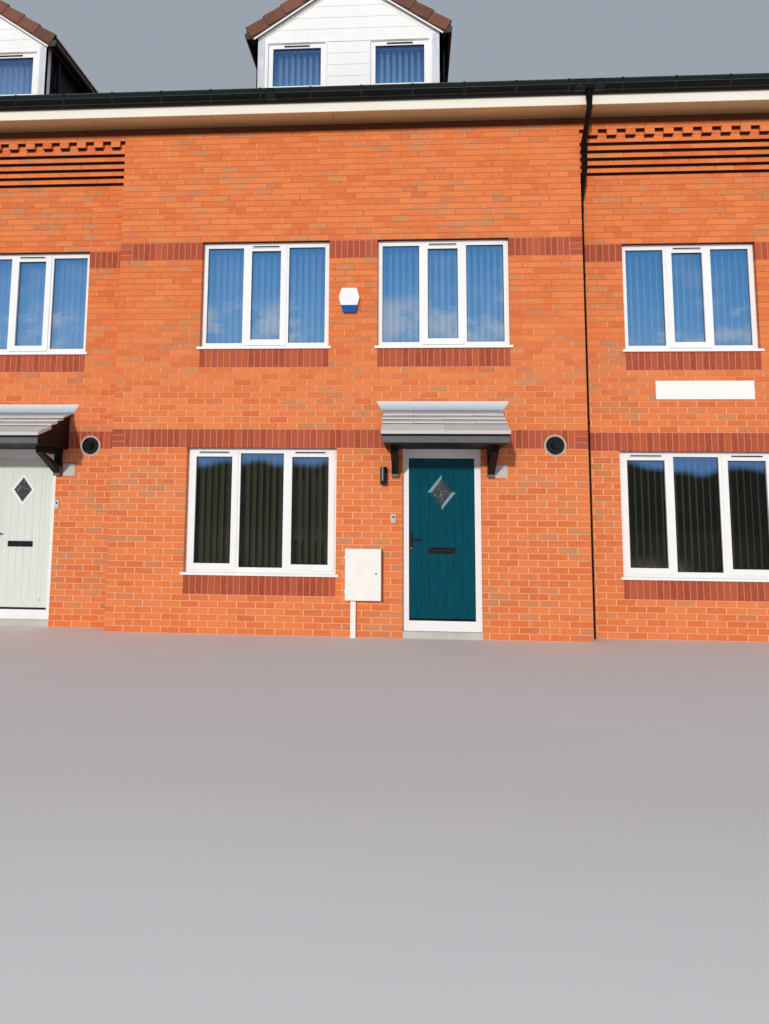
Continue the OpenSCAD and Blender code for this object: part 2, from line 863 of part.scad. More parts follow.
module rear_window_frames() {
    color("white")
        at_rear()
            for (i = HOUSES) {
                window_frame(window_x(i), front_y + frame_set, ground_sill_z + sill_h,
                    ground_window_w, ground_window_h - sill_h, 3, [0, 2]);
                for (x = [window_x(i), window_2_x(i)])
                    window_frame(x, front_y + frame_set, upper_sill_z + sill_h,
                        upper_window_w, upper_window_h - sill_h, 3, [1]);
            }
}

module rear_glass() {
    color("#5b7f96")
        at_rear()
            for (i = HOUSES) {
                window_glass(window_x(i), front_y + frame_set, ground_sill_z + sill_h,
                    ground_window_w, ground_window_h - sill_h);
                for (x = [window_x(i), window_2_x(i)])
                    window_glass(x, front_y + frame_set, upper_sill_z + sill_h,
                        upper_window_w, upper_window_h - sill_h);
            }
}

// A sill's nose has short horns that lie over the brickwork beside the opening
sill_horn = 30;

module window_sill(x, y, z, w) {
    block(x - w / 2, x + w / 2, y - past, y + frame_set + frame_d, z, z + sill_h);
    block(x - w / 2 - sill_horn, x + w / 2 + sill_horn, y - sill_reach, y, z, z + sill_h);
}

module window_sills() {
    color("white") {
        for (i = HOUSES) {
            window_sill(window_x(i), house_front(i), ground_sill_z, ground_window_w);
            for (x = [window_x(i), window_2_x(i)])
                window_sill(x, house_front(i), upper_sill_z, upper_window_w);
        }
        at_rear()
            for (i = HOUSES) {
                window_sill(window_x(i), front_y, ground_sill_z, ground_window_w);
                for (x = [window_x(i), window_2_x(i)])
                    window_sill(x, front_y, upper_sill_z, upper_window_w);
            }
    }
}

// Front doors, drawn about the centre of the doorway with y = 0 on the wall's face
frame_back = frame_set + frame_d;
leaf_half = door_w / 2 - jamb_w + leaf_lap;
leaf_y = frame_set + stop_t + door_gap;
leaf_back = leaf_y + leaf_t;
leaf_z0 = door_base + threshold_h - leaf_lap;
leaf_z1 = head_z - door_head_h + leaf_lap;
hinge_x = leaf_half + barrel_r;
hinge_y = frame_back + barrel_r + 1;
barrel_h = 32;
barrel_gap = 0.3;
hinge_heights = [leaf_z0 + 200, (leaf_z0 + leaf_z1) / 2, leaf_z1 - 200];

// One barrel and its leaf plate; side is -1 on the door and 1 on the frame
module hinge_part(z, side) {
    pad = 26;
    translate([hinge_x, hinge_y, z]) cylinder(h = barrel_h, r = barrel_r);
    x0 = side < 0 ? hinge_x - pad : hinge_x;
    block(x0, x0 + pad, hinge_y - barrel_r, hinge_y, z, z + barrel_h);
    if (side < 0)
        block(x0, leaf_half, leaf_back - past, hinge_y, z, z + barrel_h);
    else
        block(leaf_half + door_gap + past, x0 + pad, frame_back - past, hinge_y, z, z + barrel_h);
}

module front_door_frame(has_hinges) {
    rebate_half = leaf_half + door_gap;
    difference() {
        block(-door_w / 2, door_w / 2, frame_set, frame_back, door_base, head_z);
        block(-leaf_half + leaf_lap, leaf_half - leaf_lap, 0, 2 * frame_back,
            leaf_z0 + leaf_lap, leaf_z1 - leaf_lap);
        block(-rebate_half, rebate_half, frame_set + stop_t, 2 * frame_back,
            leaf_z0 - door_gap, leaf_z1 + door_gap);
    }
    if (has_hinges)
        for (z = hinge_heights)
            hinge_part(z + barrel_h + barrel_gap, 1);
}

module door_frames() {
    color("white")
        for (i = HOUSES)
            translate([door_x(i), house_front(i), 0])
                front_door_frame(true);
}

// Diamond through the leaf
module diamond_hole(size) {
    translate([0, 0, diamond_z])
        rotate([90, 45, 0])
            linear_extrude(400, center = true) square(size / sqrt(2), center = true);
}

glass_inset = 10;

module door_glass() {
    intersection() {
        diamond_hole(diamond);
        block(-leaf_half, leaf_half, leaf_y + glass_inset, leaf_back - glass_inset, leaf_z0, leaf_z1);
    }
}

slot_w = plate_w - 60;
flap_h = 36;
flap_t = 4;
flap_pivot_z = plate_z + flap_h / 2;
slot_gap = 5;
lever_bore_r = 10;
lever_x = -leaf_half + 38;

module letter_slot() {
    block(-slot_w / 2, slot_w / 2, 0, 2 * leaf_back,
        flap_pivot_z - flap_h - slot_gap, flap_pivot_z + flap_t + slot_gap);
}

// The leaf from height z0 to z1
module leaf_part(z0, z1) {
    difference() {
        block(-leaf_half, leaf_half, leaf_y, leaf_back, z0, z1);
        diamond_hole(diamond);
        letter_slot();
        translate([lever_x, 0, lever_z])
            rotate([-90, 0, 0]) cylinder(h = 2 * leaf_back, r = lever_bore_r);
        door_grooves();
    }
}

module leaf_hinges() {
    for (z = hinge_heights)
        hinge_part(z, -1);
}

module door_leaf() {
    leaf_part(leaf_z0, leaf_z1);
    leaf_hinges();
}

groove_d = 4;
groove_w = 6;
groove_pitch = 96;
field_margin = 120;

// Shallow grooves of the boarded field
module door_grooves() {
    for (k = [-2.5 : 1 : 2.5])
        block(k * groove_pitch - groove_w / 2, k * groove_pitch + groove_w / 2,
            leaf_y - past, leaf_y + groove_d, leaf_z0 + field_margin, leaf_z1 - field_margin);
}

module left_door() {
    color("#dfe9e0")
        translate([door_x(0), outer_front_y, 0]) door_leaf();
}

letter_rail_z0 = plate_z - plate_h;
letter_rail_z1 = plate_z + plate_h;

module centre_door() {
    color("#00485a")
        translate([door_x(1), front_y, 0]) {
            leaf_part(leaf_z0, letter_rail_z0);
            leaf_part(letter_rail_z1, leaf_z1);
            leaf_hinges();
        }
}

// The rail across the middle leaf that holds the letter plate
module centre_door_rail() {
    color("#00485a")
        translate([door_x(1), front_y, 0]) leaf_part(letter_rail_z0, letter_rail_z1);
}

// The right door is shut for good: leaf, plates and lever in one node
module right_door() {
    color("#dfe9e0")
        translate([door_x(2), outer_front_y, 0]) {
            door_leaf();
            door_plates();
            letter_flap();
            lever();
        }
}

module left_door_glass() {
    color("#303a3c") translate([door_x(0), outer_front_y, 0]) door_glass();
}

module centre_door_glass() {
    color("#303a3c") translate([door_x(1), front_y, 0]) door_glass();
}

backplate_w = 32;
backplate_h = 220;
backplate_t = 9;
lever_bore_gap = 0.1;
spindle_r = 7;
plate_t = 10;
pin_r = 2;

// Letter plate frame with bearings for the flap, and the lever's backplates
module door_plates() {
    difference() {
        for (y = [leaf_y - backplate_t, leaf_back])
            block(lever_x - backplate_w / 2, lever_x + backplate_w / 2, y, y + backplate_t,
                lever_z - backplate_h * 0.6, lever_z + backplate_h * 0.4);
        translate([lever_x, 0, lever_z])
            rotate([-90, 0, 0]) cylinder(h = 2 * leaf_back, r = spindle_r + lever_bore_gap);
    }
    difference() {
        for (y = [leaf_y - plate_t, leaf_back])
            block(-plate_w / 2, plate_w / 2, y, y + plate_t, plate_z - plate_h / 2, plate_z + plate_h / 2);
        letter_slot();
        translate([-slot_w / 2 - 12, leaf_y - plate_t / 2, flap_pivot_z])
            rotate([0, 90, 0]) cylinder(h = slot_w + 24, r = pin_r + lever_bore_gap);
    }
}

module letter_flap() {
    half = slot_w / 2 - slot_gap;
    y = leaf_y - plate_t / 2;
    translate([-slot_w / 2 - 10, y, flap_pivot_z])
        rotate([0, 90, 0]) cylinder(h = slot_w + 20, r = pin_r);
    block(-half, half, y - flap_t / 2, y + flap_t / 2, flap_pivot_z - flap_h, flap_pivot_z);
}

module lever_arm(y, out) {
    grip_t = 12;
    neck = 40;
    y1 = y + out * neck;
    translate([lever_x, min(y, y1), lever_z])
        rotate([-90, 0, 0]) cylinder(h = neck, r = spindle_r);
    translate([lever_x, y1 - grip_t / 2, lever_z])
        rotate([-90, 0, 0]) cylinder(h = grip_t, r = spindle_r + 3);
    block(lever_x, lever_x + lever_l, y1 - grip_t / 2, y1 + grip_t / 2, lever_z - 9, lever_z + 9);
}

module lever() {
    translate([lever_x, leaf_y - backplate_t, lever_z])
        rotate([-90, 0, 0]) cylinder(h = leaf_t + 2 * backplate_t, r = spindle_r);
    lever_arm(leaf_y - backplate_t, -1);
    lever_arm(leaf_back + backplate_t, 1);
}

module left_door_furniture() {
    color("#202020")
        translate([door_x(0), outer_front_y, 0]) {
            door_plates();
            lever();
        }
}

module centre_door_furniture() {
    color("#202020") translate([door_x(1), front_y, 0]) door_plates();
}

module left_letter_flap() {
    color("#202020") translate([door_x(0), outer_front_y, 0]) letter_flap();
}

module centre_letter_flap() {
    color("#202020") translate([door_x(1), front_y, 0]) letter_flap();
}

module centre_door_lever() {
    color("#202020") translate([door_x(1), front_y, 0]) lever();
}

// Rear doors: frame and half-glazed leaf in one
module rear_doors() {
    panel_y = frame_set + 12;
    rail_z = 1000;
    rail_h = 150;
    color("white")
        at_rear()
            for (i = HOUSES)
                translate([door_x(i), front_y, 0])
                    difference() {
                        block(-door_w / 2, door_w / 2, frame_set, frame_back, door_base, head_z);
                        block(-door_w / 2 + 2 * bar_w, door_w / 2 - 2 * bar_w, 0, panel_y,
                            rail_z + rail_h, head_z - 2 * bar_w);
                        block(-door_w / 2 + 2 * bar_w, door_w / 2 - 2 * bar_w, 0, panel_y,
                            door_base + 200, rail_z);
                    }
}

// Canopies over the front doors
canopy_slope = tan(canopy_pitch);
canopy_drop = canopy_tile_t / cos(canopy_pitch);

// Stepped tile rows over a straight underside, y = 0 on the wall's face
function canopy_under(y) = canopy_z + (y + canopy_reach) * canopy_slope;
canopy_row = (canopy_reach - canopy_eaves_row - canopy_top_row) / (canopy_rows - 2);
// Distance of a row's upper edge from the wall, counted from the wall outwards
function canopy_row_y(k) = k == 0 ? 0 : k == canopy_rows ? -canopy_reach
    : -canopy_top_row - (k - 1) * canopy_row;
canopy_tiles = [
    [0, canopy_under(0)],
    for (k = [0 : canopy_rows - 1]) each [
        [canopy_row_y(k), canopy_under(canopy_row_y(k)) + canopy_drop],
        [canopy_row_y(k + 1), canopy_under(canopy_row_y(k + 1)) + 2 * canopy_drop]],
    [-canopy_reach, canopy_z]];

module canopy_roofs() {
    color("silver")
        for (i = HOUSES)
            translate([canopy_x(i), house_front(i), 0])
                run_x(-canopy_w / 2, canopy_w / 2) polygon(canopy_tiles);
}

// Top face of the uppermost row of tiles
function canopy_top(y) = canopy_under(y) + canopy_drop * (1 - y / canopy_top_row);
flashing_apron = 110;

module canopy_flashings() {
    foot = canopy_top(0) + seat_gap;
    foot_w = canopy_w + 40;
    color("lightsteelblue")
        for (i = HOUSES)
            translate([canopy_x(i), house_front(i), 0]) {
                // Upstand on the wall, narrower at its foot
                rotate([90, 0, 0])
                    linear_extrude(lead_t)
                        polygon([[-flashing_w / 2, flashing_z], [flashing_w / 2, flashing_z],
                            [foot_w / 2, foot], [-foot_w / 2, foot]]);
                // Apron dressed down over the top row of tiles
                run_x(-foot_w / 2, foot_w / 2)
                    polygon([[0, foot], [0, foot + lead_t],
                        [-flashing_apron, canopy_top(-flashing_apron) + seat_gap + lead_t],
                        [-flashing_apron, canopy_top(-flashing_apron) + seat_gap]]);
            }
}

canopy_frame_front = canopy_reach - 20;
canopy_fascia_t = 22;
canopy_soffit_z = canopy_z - canopy_fascia_h;

module bracket() {
    inner = canopy_soffit_z - bracket_t;
    run_x(-bracket_w / 2, bracket_w / 2) {
        // Post on the wall and arm under the soffit
        translate([-bracket_t, bracket_foot_z]) square([bracket_t, canopy_soffit_z - bracket_foot_z]);
        translate([-bracket_reach, inner]) square([bracket_reach, bracket_t]);
        // Strut from foot to arm
        polygon([[-bracket_t, bracket_foot_z + 30], [-bracket_t, bracket_foot_z + 30 + bracket_t * 1.3],
            [-bracket_reach + bracket_t, inner], [-bracket_reach, inner]]);
    }
}

module canopy_frames() {
    half = canopy_w / 2 - 24;
    front = canopy_frame_front - canopy_fascia_t;
    color("#2a2020")
        for (i = HOUSES)
            translate([canopy_x(i), house_front(i), 0]) {
                run_x(-half, half)
                    polygon([[0, canopy_soffit_z], [0, canopy_under(0)],
                        [-front, canopy_under(-front)], [-front, canopy_soffit_z]]);
                run_x(-half - 12, half + 12)
                    polygon([[-front, canopy_soffit_z], [-front, canopy_under(-canopy_reach)],
                        [-canopy_frame_front, canopy_under(-canopy_reach)],
                        [-canopy_frame_front, canopy_soffit_z]]);
                for (side = [-1, 1])
                    translate([side * bracket_pitch / 2, 0, 0]) bracket();
            }
}

// Meter box with its duct
meter_left = door_x(1) - meter_off - meter_w / 2;
meter_face = front_y - meter_d;
meter_pin_r = 3;
meter_hinge_x = meter_left - meter_pin_r - 3;
meter_hinge_y = meter_face - 5 - meter_t - meter_pin_r;
meter_door_y = meter_face - 5;
knuckle_h = 14;
knuckle_heights = [meter_z + 80, meter_z + meter_h - 110];

module meter_box() {
    duct_w = 60;
    color("white") {
        difference() {
            block(meter_left, meter_left + meter_w, meter_face, front_y, meter_z, meter_z + meter_h);
            block(meter_left + meter_t, meter_left + meter_w - meter_t, meter_face - past,
                front_y - meter_t, meter_z + meter_t, meter_z + meter_h - meter_t);
        }
        block(meter_left + meter_w * 0.14, meter_left + meter_w * 0.14 + duct_w,
            front_y - duct_w, front_y, 0, meter_z);
        for (z = knuckle_heights)
            meter_knuckle(z, -1);
    }
}

// Hinge lug: a barrel on the pin line, tied to the box (-1) or to the door (1)
module meter_knuckle(z, side) {
    translate([meter_hinge_x, meter_hinge_y, z]) cylinder(h = knuckle_h, r = meter_pin_r);
    if (side < 0) {
        block(meter_hinge_x - meter_pin_r, meter_hinge_x + past, meter_hinge_y, meter_face + 20, z, z + knuckle_h);
        block(meter_hinge_x - meter_pin_r, meter_left + past, meter_face + 4, meter_face + 20, z, z + knuckle_h);
    } else
        block(meter_hinge_x, meter_left + 12, meter_hinge_y - meter_pin_r, meter_hinge_y + past, z, z + knuckle_h);
}

module meter_box_door() {
    color("white") {
        block(meter_left, meter_left + meter_w, meter_hinge_y, meter_door_y,
            meter_z, meter_z + meter_h);
        for (z = knuckle_heights)
            meter_knuckle(z + knuckle_h + barrel_gap, 1);
        // Lock escutcheon
        translate([meter_left + meter_w - 55, meter_hinge_y, meter_z + meter_h * 0.52])
            rotate([90, 0, 0]) cylinder(h = 4, r = 14);
    }
}

// Up-and-down wall light
module wall_light() {
    x = door_x(1) - lamp_off;
    color("#202020") {
        block(x - 30, x + 30, front_y - 12, front_y, lamp_z - 60, lamp_z + 60);
        block(x - 14, x + 14, front_y - 40, front_y - 12, lamp_z - 22, lamp_z + 22);
        translate([x, front_y - 72, lamp_z - 102]) cylinder(h = 204, r = 40);
    }
}

module doorbells() {
    color("ivory")
        for (p = [[door_x(1) - centre_bell_off, front_y, centre_bell_z],
            [door_x(0) + left_bell_off, outer_front_y, left_bell_z]])
            block(p[0] - 26, p[0] + 26, p[1] - 24, p[1], p[2] - 52, p[2] + 52);
}

// Alarm box: a tapering six-sided shield with a clear lens at its foot
module alarm_box() {
    x = house_left(1) + alarm_x;
    w = 250;
    h = 295;
    d = 75;
    lens = 85;
    shield = [[-w * 0.36, h / 2], [w * 0.36, h / 2], [w / 2, h * 0.12],
        [w * 0.3, -h / 2], [-w * 0.3, -h / 2], [-w / 2, h * 0.12]];
    translate([x, front_y, alarm_z])
        rotate([90, 0, 0]) {
            color("white")
                difference() {
                    linear_extrude(d) polygon(shield);
                    translate([-w, -h / 2 - past, -past]) cube([2 * w, lens, 2 * d]);
                }
            color("royalblue")
                intersection() {
                    linear_extrude(d) polygon(shield);
                    translate([-w, -h / 2 - past, -past]) cube([2 * w, lens, 2 * d]);
                }
        }
}

// Flue terminal: a collar on the wall and a capped tube
module flue_terminals() {
    collar = 38;
    color("#202020")
        for (i = [0, 1])
            translate([flue_x(i), house_front(i), flue_z])
                rotate([90, 0, 0]) {
                    cylinder(h = 14, r = flue_r + collar);
                    difference() {
                        cylinder(h = 120, r = flue_r);
                        translate([0, 0, 60]) cylinder(h = 80, r = flue_r - 6);
                    }
                    cylinder(h = 128, r = flue_r - 22);
                    translate([0, 0, 118]) cylinder(h = 10, r = flue_r - 12);
                }
}

// Bare name board and house number plates
module wall_plates() {
    board = 14;
    x = house_left(2) + sign_x;
    color("white") {
        block(x - sign_w / 2, x + sign_w / 2, outer_front_y - board, outer_front_y,
            sign_z - sign_h / 2, sign_z + sign_h / 2);
        for (p = [[door_x(1) + centre_number_off, front_y], [door_x(0) + left_number_off, outer_front_y]])
            block(p[0] - number_w / 2, p[0] + number_w / 2, p[1] - board, p[1],
                number_z - number_w / 2, number_z + number_w / 2);
    }
}

// Vertical blinds in the front windows: a head rail and turned vanes
module blind(x, y, w, z0, z1) {
    rail = 40;
    vane_w = 89;
    vane_t = 2;
    pitch = 80;
    turn = 62;
    count = floor((w - vane_w) / pitch);
    block(x - w / 2, x + w / 2, y - rail / 2, y + rail / 2, z1 - rail, z1);
    for (k = [0 : count])
        translate([x + (k - count / 2) * pitch, y, z0])
            rotate([0, 0, turn])
                translate([-vane_w / 2, -vane_t / 2, 0]) cube([vane_w, vane_t, z1 - rail - z0]);
}

module blinds() {
    side_gap = 30;
    color("#d8dde0")
        for (i = HOUSES) {
            y = house_front(i) + wall_t - 60;
            blind(window_x(i), y, ground_window_w - side_gap, ground_sill_z + 40, head_z);
            for (x = [window_x(i), window_2_x(i)])
                blind(x, y, upper_window_w - side_gap, upper_sill_z + 40, upper_head_z);
        }
}

ground_floor();
first_floor();
attic_floor();
party_walls();
end_walls();
left_window_wall();
left_door_pier();
left_upper_wall();
centre_window_wall();
centre_door_pier();
centre_upper_wall();
right_lower_wall();
right_upper_wall();
soldier_courses();
corbel_panels();
left_rear_wall();
centre_rear_wall();
right_rear_wall();
roof_front();
roof_rear();
ridge_tiles();
fascias();
soffits();
gutters();
downpipes();
dormer_fronts();
dormer_cheeks();
dormer_roofs();
dormer_bargeboards();
ground_window_frames();
upper_window_frames();
dormer_window_frames();
rear_window_frames();
front_glass();
rear_glass();
window_sills();
door_frames();
rear_doors();
right_door();
left_door();
left_door_glass();
left_door_furniture();
left_letter_flap();
centre_door();
centre_door_rail();
centre_door_glass();
centre_door_furniture();
centre_door_lever();
centre_letter_flap();
canopy_roofs();
canopy_flashings();
canopy_frames();
meter_box();
meter_box_door();
wall_light();
doorbells();
alarm_box();
flue_terminals();
wall_plates();
blinds();
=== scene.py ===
# Terraced house row in brick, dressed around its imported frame. Metres; fronts face -Y, Z is up.
import math
import random

import bpy
import numpy as np
from mathutils import Matrix, Vector


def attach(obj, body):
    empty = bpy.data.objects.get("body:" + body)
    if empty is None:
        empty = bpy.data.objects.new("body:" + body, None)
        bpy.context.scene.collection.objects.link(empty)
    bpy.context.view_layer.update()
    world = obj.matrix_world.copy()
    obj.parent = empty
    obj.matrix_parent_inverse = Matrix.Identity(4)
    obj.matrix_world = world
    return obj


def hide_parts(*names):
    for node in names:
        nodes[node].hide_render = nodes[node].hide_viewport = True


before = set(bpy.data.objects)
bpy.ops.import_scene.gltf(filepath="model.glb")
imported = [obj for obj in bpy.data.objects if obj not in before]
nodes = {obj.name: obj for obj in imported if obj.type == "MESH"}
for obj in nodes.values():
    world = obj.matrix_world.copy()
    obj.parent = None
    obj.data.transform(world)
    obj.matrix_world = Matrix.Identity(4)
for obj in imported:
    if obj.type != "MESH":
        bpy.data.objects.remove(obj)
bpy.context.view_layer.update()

# ---- Camera ----
# A hand-held view of the fronts, a little right of the middle house's centre and at standing
# height, turned slightly left and up. The frame is cut from a larger picture, hence the shift.
eye = (0.794, -14.853, 1.445)
turn_left, tilt_up, roll = (math.radians(t) for t in (4.890, 8.003, 0.571))
camera_data = bpy.data.cameras.new("camera")
camera_data.lens = 31.64
camera_data.sensor_width = 36.0
camera_data.shift_x = 0.0477
camera_data.shift_y = -0.1253
camera_data.clip_end = 200.0
camera = bpy.data.objects.new("camera", camera_data)
camera.matrix_world = (Matrix.Translation(eye) @ Matrix.Rotation(turn_left, 4, "Z")
                       @ Matrix.Rotation(math.radians(90.0) + tilt_up, 4, "X")
                       @ Matrix.Rotation(roll, 4, "Z"))
bpy.context.scene.collection.objects.link(camera)
bpy.context.scene.camera = camera


# ---- Ground slab and steps ----
# Cast concrete floor of the three houses with the steps in the doorways, floated smooth, grey
# and a little blotched. The upper floors are boarded with pale chipboard sheets.
class Value:
    """A shader socket that takes part in sums."""

    def __init__(self, finish, socket):
        self.finish, self.socket = finish, socket

    def sum(self, operation, *terms):
        return self.finish.node("ShaderNodeMath", {"operation": operation},
                                **{f"in{k}": t for k, t in enumerate(terms)})

    def __add__(self, other): return self.sum("ADD", self, other)
    def __radd__(self, other): return self.sum("ADD", other, self)
    def __sub__(self, other): return self.sum("SUBTRACT", self, other)
    def __rsub__(self, other): return self.sum("SUBTRACT", other, self)
    def __mul__(self, other): return self.sum("MULTIPLY", self, other)
    def __truediv__(self, other): return self.sum("DIVIDE", self, other)
    def __gt__(self, other): return self.sum("GREATER_THAN", self, other)
    def __lt__(self, other): return self.sum("LESS_THAN", self, other)
    def __mod__(self, other): return self.sum("WRAP", self, other, 0.0)
    def __abs__(self): return self.sum("ABSOLUTE", self)

    def ease(self, low, high):
        """0 below low, 1 above high, smooth between."""
        return self.finish.node("ShaderNodeMapRange", {"interpolation_type": "SMOOTHSTEP"},
                                Value=self, From_Min=low, From_Max=high)


class Finish:
    """A material whose nodes are laid out by expressions."""

    def __init__(self, name, rough, **fixed):
        self.material = bpy.data.materials.new(name)
        self.material.use_nodes = True
        self.tree = self.material.node_tree
        self.tree.nodes.clear()
        output = self.tree.nodes.new("ShaderNodeOutputMaterial")
        self.shader = self.tree.nodes.new("ShaderNodeBsdfPrincipled")
        self.tree.links.new(self.shader.outputs[0], output.inputs[0])
        self.set(Roughness=rough, **fixed)
        self.place = self.node("ShaderNodeTexCoord", {}, out="Object")
        apart = self.tree.nodes.new("ShaderNodeSeparateXYZ")
        self.tree.links.new(self.place.socket, apart.inputs[0])
        self.x, self.y, self.z = (Value(self, apart.outputs[k]) for k in range(3))

    def feed(self, socket, value):
        if isinstance(value, Value):
            self.tree.links.new(value.socket, socket)
        elif isinstance(value, (tuple, list)) and len(value) == 3 and socket.type == "RGBA":
            socket.default_value = (*value, 1.0)
        else:
            socket.default_value = value

    def node(self, kind, settings, out=0, **links):
        node = self.tree.nodes.new(kind)
        for name, value in settings.items():
            if name == "stops":
                ramp = node.color_ramp
                while len(ramp.elements) < len(value):
                    ramp.elements.new(0.5)
                for element, (place, colour) in zip(ramp.elements, value):
                    element.position, element.color = place, (*colour, 1.0)
            else:
                setattr(node, name, value)
        for name, value in links.items():
            if name.startswith("in") and name[2:].isdigit():
                socket = node.inputs[int(name[2:])]
            else:
                socket = node.inputs[name.replace("_", " ")]
            self.feed(socket, value)
        return Value(self, node.outputs[out])

    def set(self, **sockets):
        for name, value in sockets.items():
            self.feed(self.shader.inputs[name.replace("_", " ")], value)

    def noise(self, scale, detail=3.0, rough=0.55, stretch=None):
        place = self.place
        if stretch:
            place = self.node("ShaderNodeVectorMath", {"operation": "MULTIPLY"},
                              in0=place, in1=stretch)
        return self.node("ShaderNodeTexNoise", {}, Vector=place, Scale=scale, Detail=detail,
                         Roughness=rough)

    def tone(self):
        """The shade that each brick or tile was given when it was laid, 0 to 1."""
        return self.node("ShaderNodeAttribute", {"attribute_name": "tone"}, out="Fac")

    def ramp(self, value, *stops):
        return self.node("ShaderNodeValToRGB", {"stops": stops}, in0=value)

    def between(self, value, dark, light):
        """From one colour, named 0 to 255, to the other as the value rises from 0.3 to 0.7."""
        return self.ramp(value, (0.3, srgb(*dark)), (0.7, srgb(*light)))

    def mix(self, share, first, second):
        return self.node("ShaderNodeMix", {"data_type": "RGBA"}, out=2,
                         in0=share, in6=first, in7=second)

    def facing(self, axis):
        """How far the surface faces along an axis of the row, -1 to 1."""
        normal = self.node("ShaderNodeTexCoord", {}, out="Normal")
        return self.node("ShaderNodeSeparateXYZ", {}, out=axis, in0=normal)

    def underside(self):
        return self.facing(2) < -0.85

    def bump(self, height, distance, strength):
        self.set(Normal=self.node("ShaderNodeBump", {}, Height=height, Distance=distance,
                                  Strength=strength))


def srgb(r, g, b):
    """A colour as the eye names it, 0 to 255, in the light's own scale."""
    return tuple(((c / 255 + 0.055) / 1.055) ** 2.4 if c > 10 else c / 255 / 12.92
                 for c in (r, g, b))


def mottled(name, rough, dark, light, *grain, bump=None, **fixed):
    """A finish between two shades of one colour, mottled by a noise with the grain's values."""
    finish = Finish(name, rough, **fixed)
    mottle = finish.noise(*grain)
    finish.set(Base_Color=finish.between(mottle, dark, light))
    if bump:
        finish.bump(mottle, *bump)
    return finish


def dress(finish, *names):
    for name in names:
        obj = nodes[name]
        obj.data.materials.clear()
        obj.data.materials.append(finish.material)


concrete = Finish("floated_concrete", rough=0.85)
blotch = concrete.noise(2.2, 6.0)
grit = concrete.noise(140.0, 4.0)
concrete.set(Base_Color=concrete.between(blotch * 0.8 + grit * 0.2,
                                         (186, 182, 174), (212, 208, 199)))
concrete.bump(grit, 0.002, 0.5)
dress(concrete, "ground_floor")

sheet_w, sheet_gap = 0.6, 0.003
chipboard = Finish("chipboard_floor", rough=0.7)
flake = chipboard.noise(90.0, 5.0, 0.7)
flakes = chipboard.ramp(flake, (0.35, srgb(172, 138, 96)), (0.65, srgb(205, 173, 128)))
sheet_edge = abs((chipboard.x % sheet_w) - sheet_w / 2) > (sheet_w - sheet_gap) / 2
chipboard.set(Base_Color=chipboard.mix(sheet_edge, flakes, srgb(90, 70, 50)))
chipboard.bump(flake, 0.001, 0.4)
dress(chipboard, "first_floor", "attic_floor")

# ---- Brick walls ----
# Cavity walls with an outer leaf of orange wire-cut facing bricks in stretcher bond, laid in
# pale mortar in 75 mm courses. The frame's walls are the mortar, each brick is laid on them.
course, stretcher, joint = 0.075, 0.225, 0.010
header, brick_w, brick_l = stretcher / 2, 0.1025, 0.2150
proud, chamfer, least_cut = 0.0035, 0.003, 0.055
reveal, past_reveal = 0.078, 0.003
middle_front, outer_front, rear_face = -4.2, -3.868, 4.2
corner_x, end_x = 2.83, 7.63
eaves_z = 6.225
head_z, sill_z, soldier_h = 2.175, 0.675, 0.225
upper_head_z, upper_sill_z = 4.725, 3.375
upper_band_z = upper_head_z - soldier_h
window_w, upper_w, door_w = 1.81, 1.585, 0.92
window_1 = {"left": -6.3, "middle": -1.0, "right": 4.16}
window_2 = {"left": -4.14, "middle": 1.17, "right": 6.32}
door_at = {"left": -4.105, "middle": 1.14, "right": 6.355}
span_of = {"left": (-end_x, -corner_x), "middle": (-corner_x, corner_x),
           "right": (corner_x, end_x)}
corners_of = {"left": (-end_x,), "middle": (-corner_x, corner_x), "right": (end_x,)}
face_of = {"left": outer_front, "middle": middle_front, "right": outer_front}
houses = ("left", "middle", "right")
wall_rows, corbel_rows = round(eaves_z / course), 8
corbel_first = wall_rows - corbel_rows

draw = random.Random(7)


def piece(name, corners, faces, finish, body="row", tones=None, smooth=False):
    """A new mesh piece that rides on a body and takes its finish from a slot."""
    mesh = bpy.data.meshes.new(name)
    mesh.from_pydata(corners, [], faces)
    if tones is not None:
        attribute = mesh.attributes.new("tone", "FLOAT", "POINT")
        attribute.data.foreach_set("value", np.asarray(tones, np.float32))
    mesh.materials.append(finish.material)
    if smooth:
        mesh.shade_smooth()
    obj = bpy.data.objects.new(name, mesh)
    bpy.context.scene.collection.objects.link(obj)
    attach(obj, body)
    return obj


def many(name, corners, quads, tones, finish, body="row"):
    """One piece of many like forms, from each form's corners and the faces they all share."""
    forms, each = corners.shape[:2]
    faces = np.array(quads)[None] + each * np.arange(forms)[:, None, None]
    return piece(name, corners.reshape(-1, 3).tolist(), faces.reshape(-1, 4).tolist(), finish,
                 body, np.repeat(tones, each))


def lay(name, bricks, finish):
    """Bricks given as [wall, from, to, bottom, top, deep, tone]: a chamfered face that stands
    proud of the wall, and sides that run back to deep behind it."""
    origin, along, out = np.array([b[0] for b in bricks], float).transpose(1, 0, 2)
    u0, u1, z0, z1, deep, tone = np.array([b[1:] for b in bricks], float).T
    up = np.array((0.0, 0.0, 1.0))
    rings = []
    for inset, depth in ((chamfer, proud), (0.0, proud - chamfer), (0.0, -deep)):
        stand = np.broadcast_to(depth, u0.shape)[:, None]
        for u, z in ((u0 + inset, z0 + inset), (u1 - inset, z0 + inset),
                     (u1 - inset, z1 - inset), (u0 + inset, z1 - inset)):
            rings.append(origin + along * u[:, None] + up * z[:, None] + out * stand)
    sides = [(ring + k, ring + 4 + k, ring + 4 + (k + 1) % 4, ring + (k + 1) % 4)
             for ring in (0, 4) for k in range(4)]
    many(name, np.stack(rings, 1), [(0, 1, 2, 3), *sides], tone, finish)


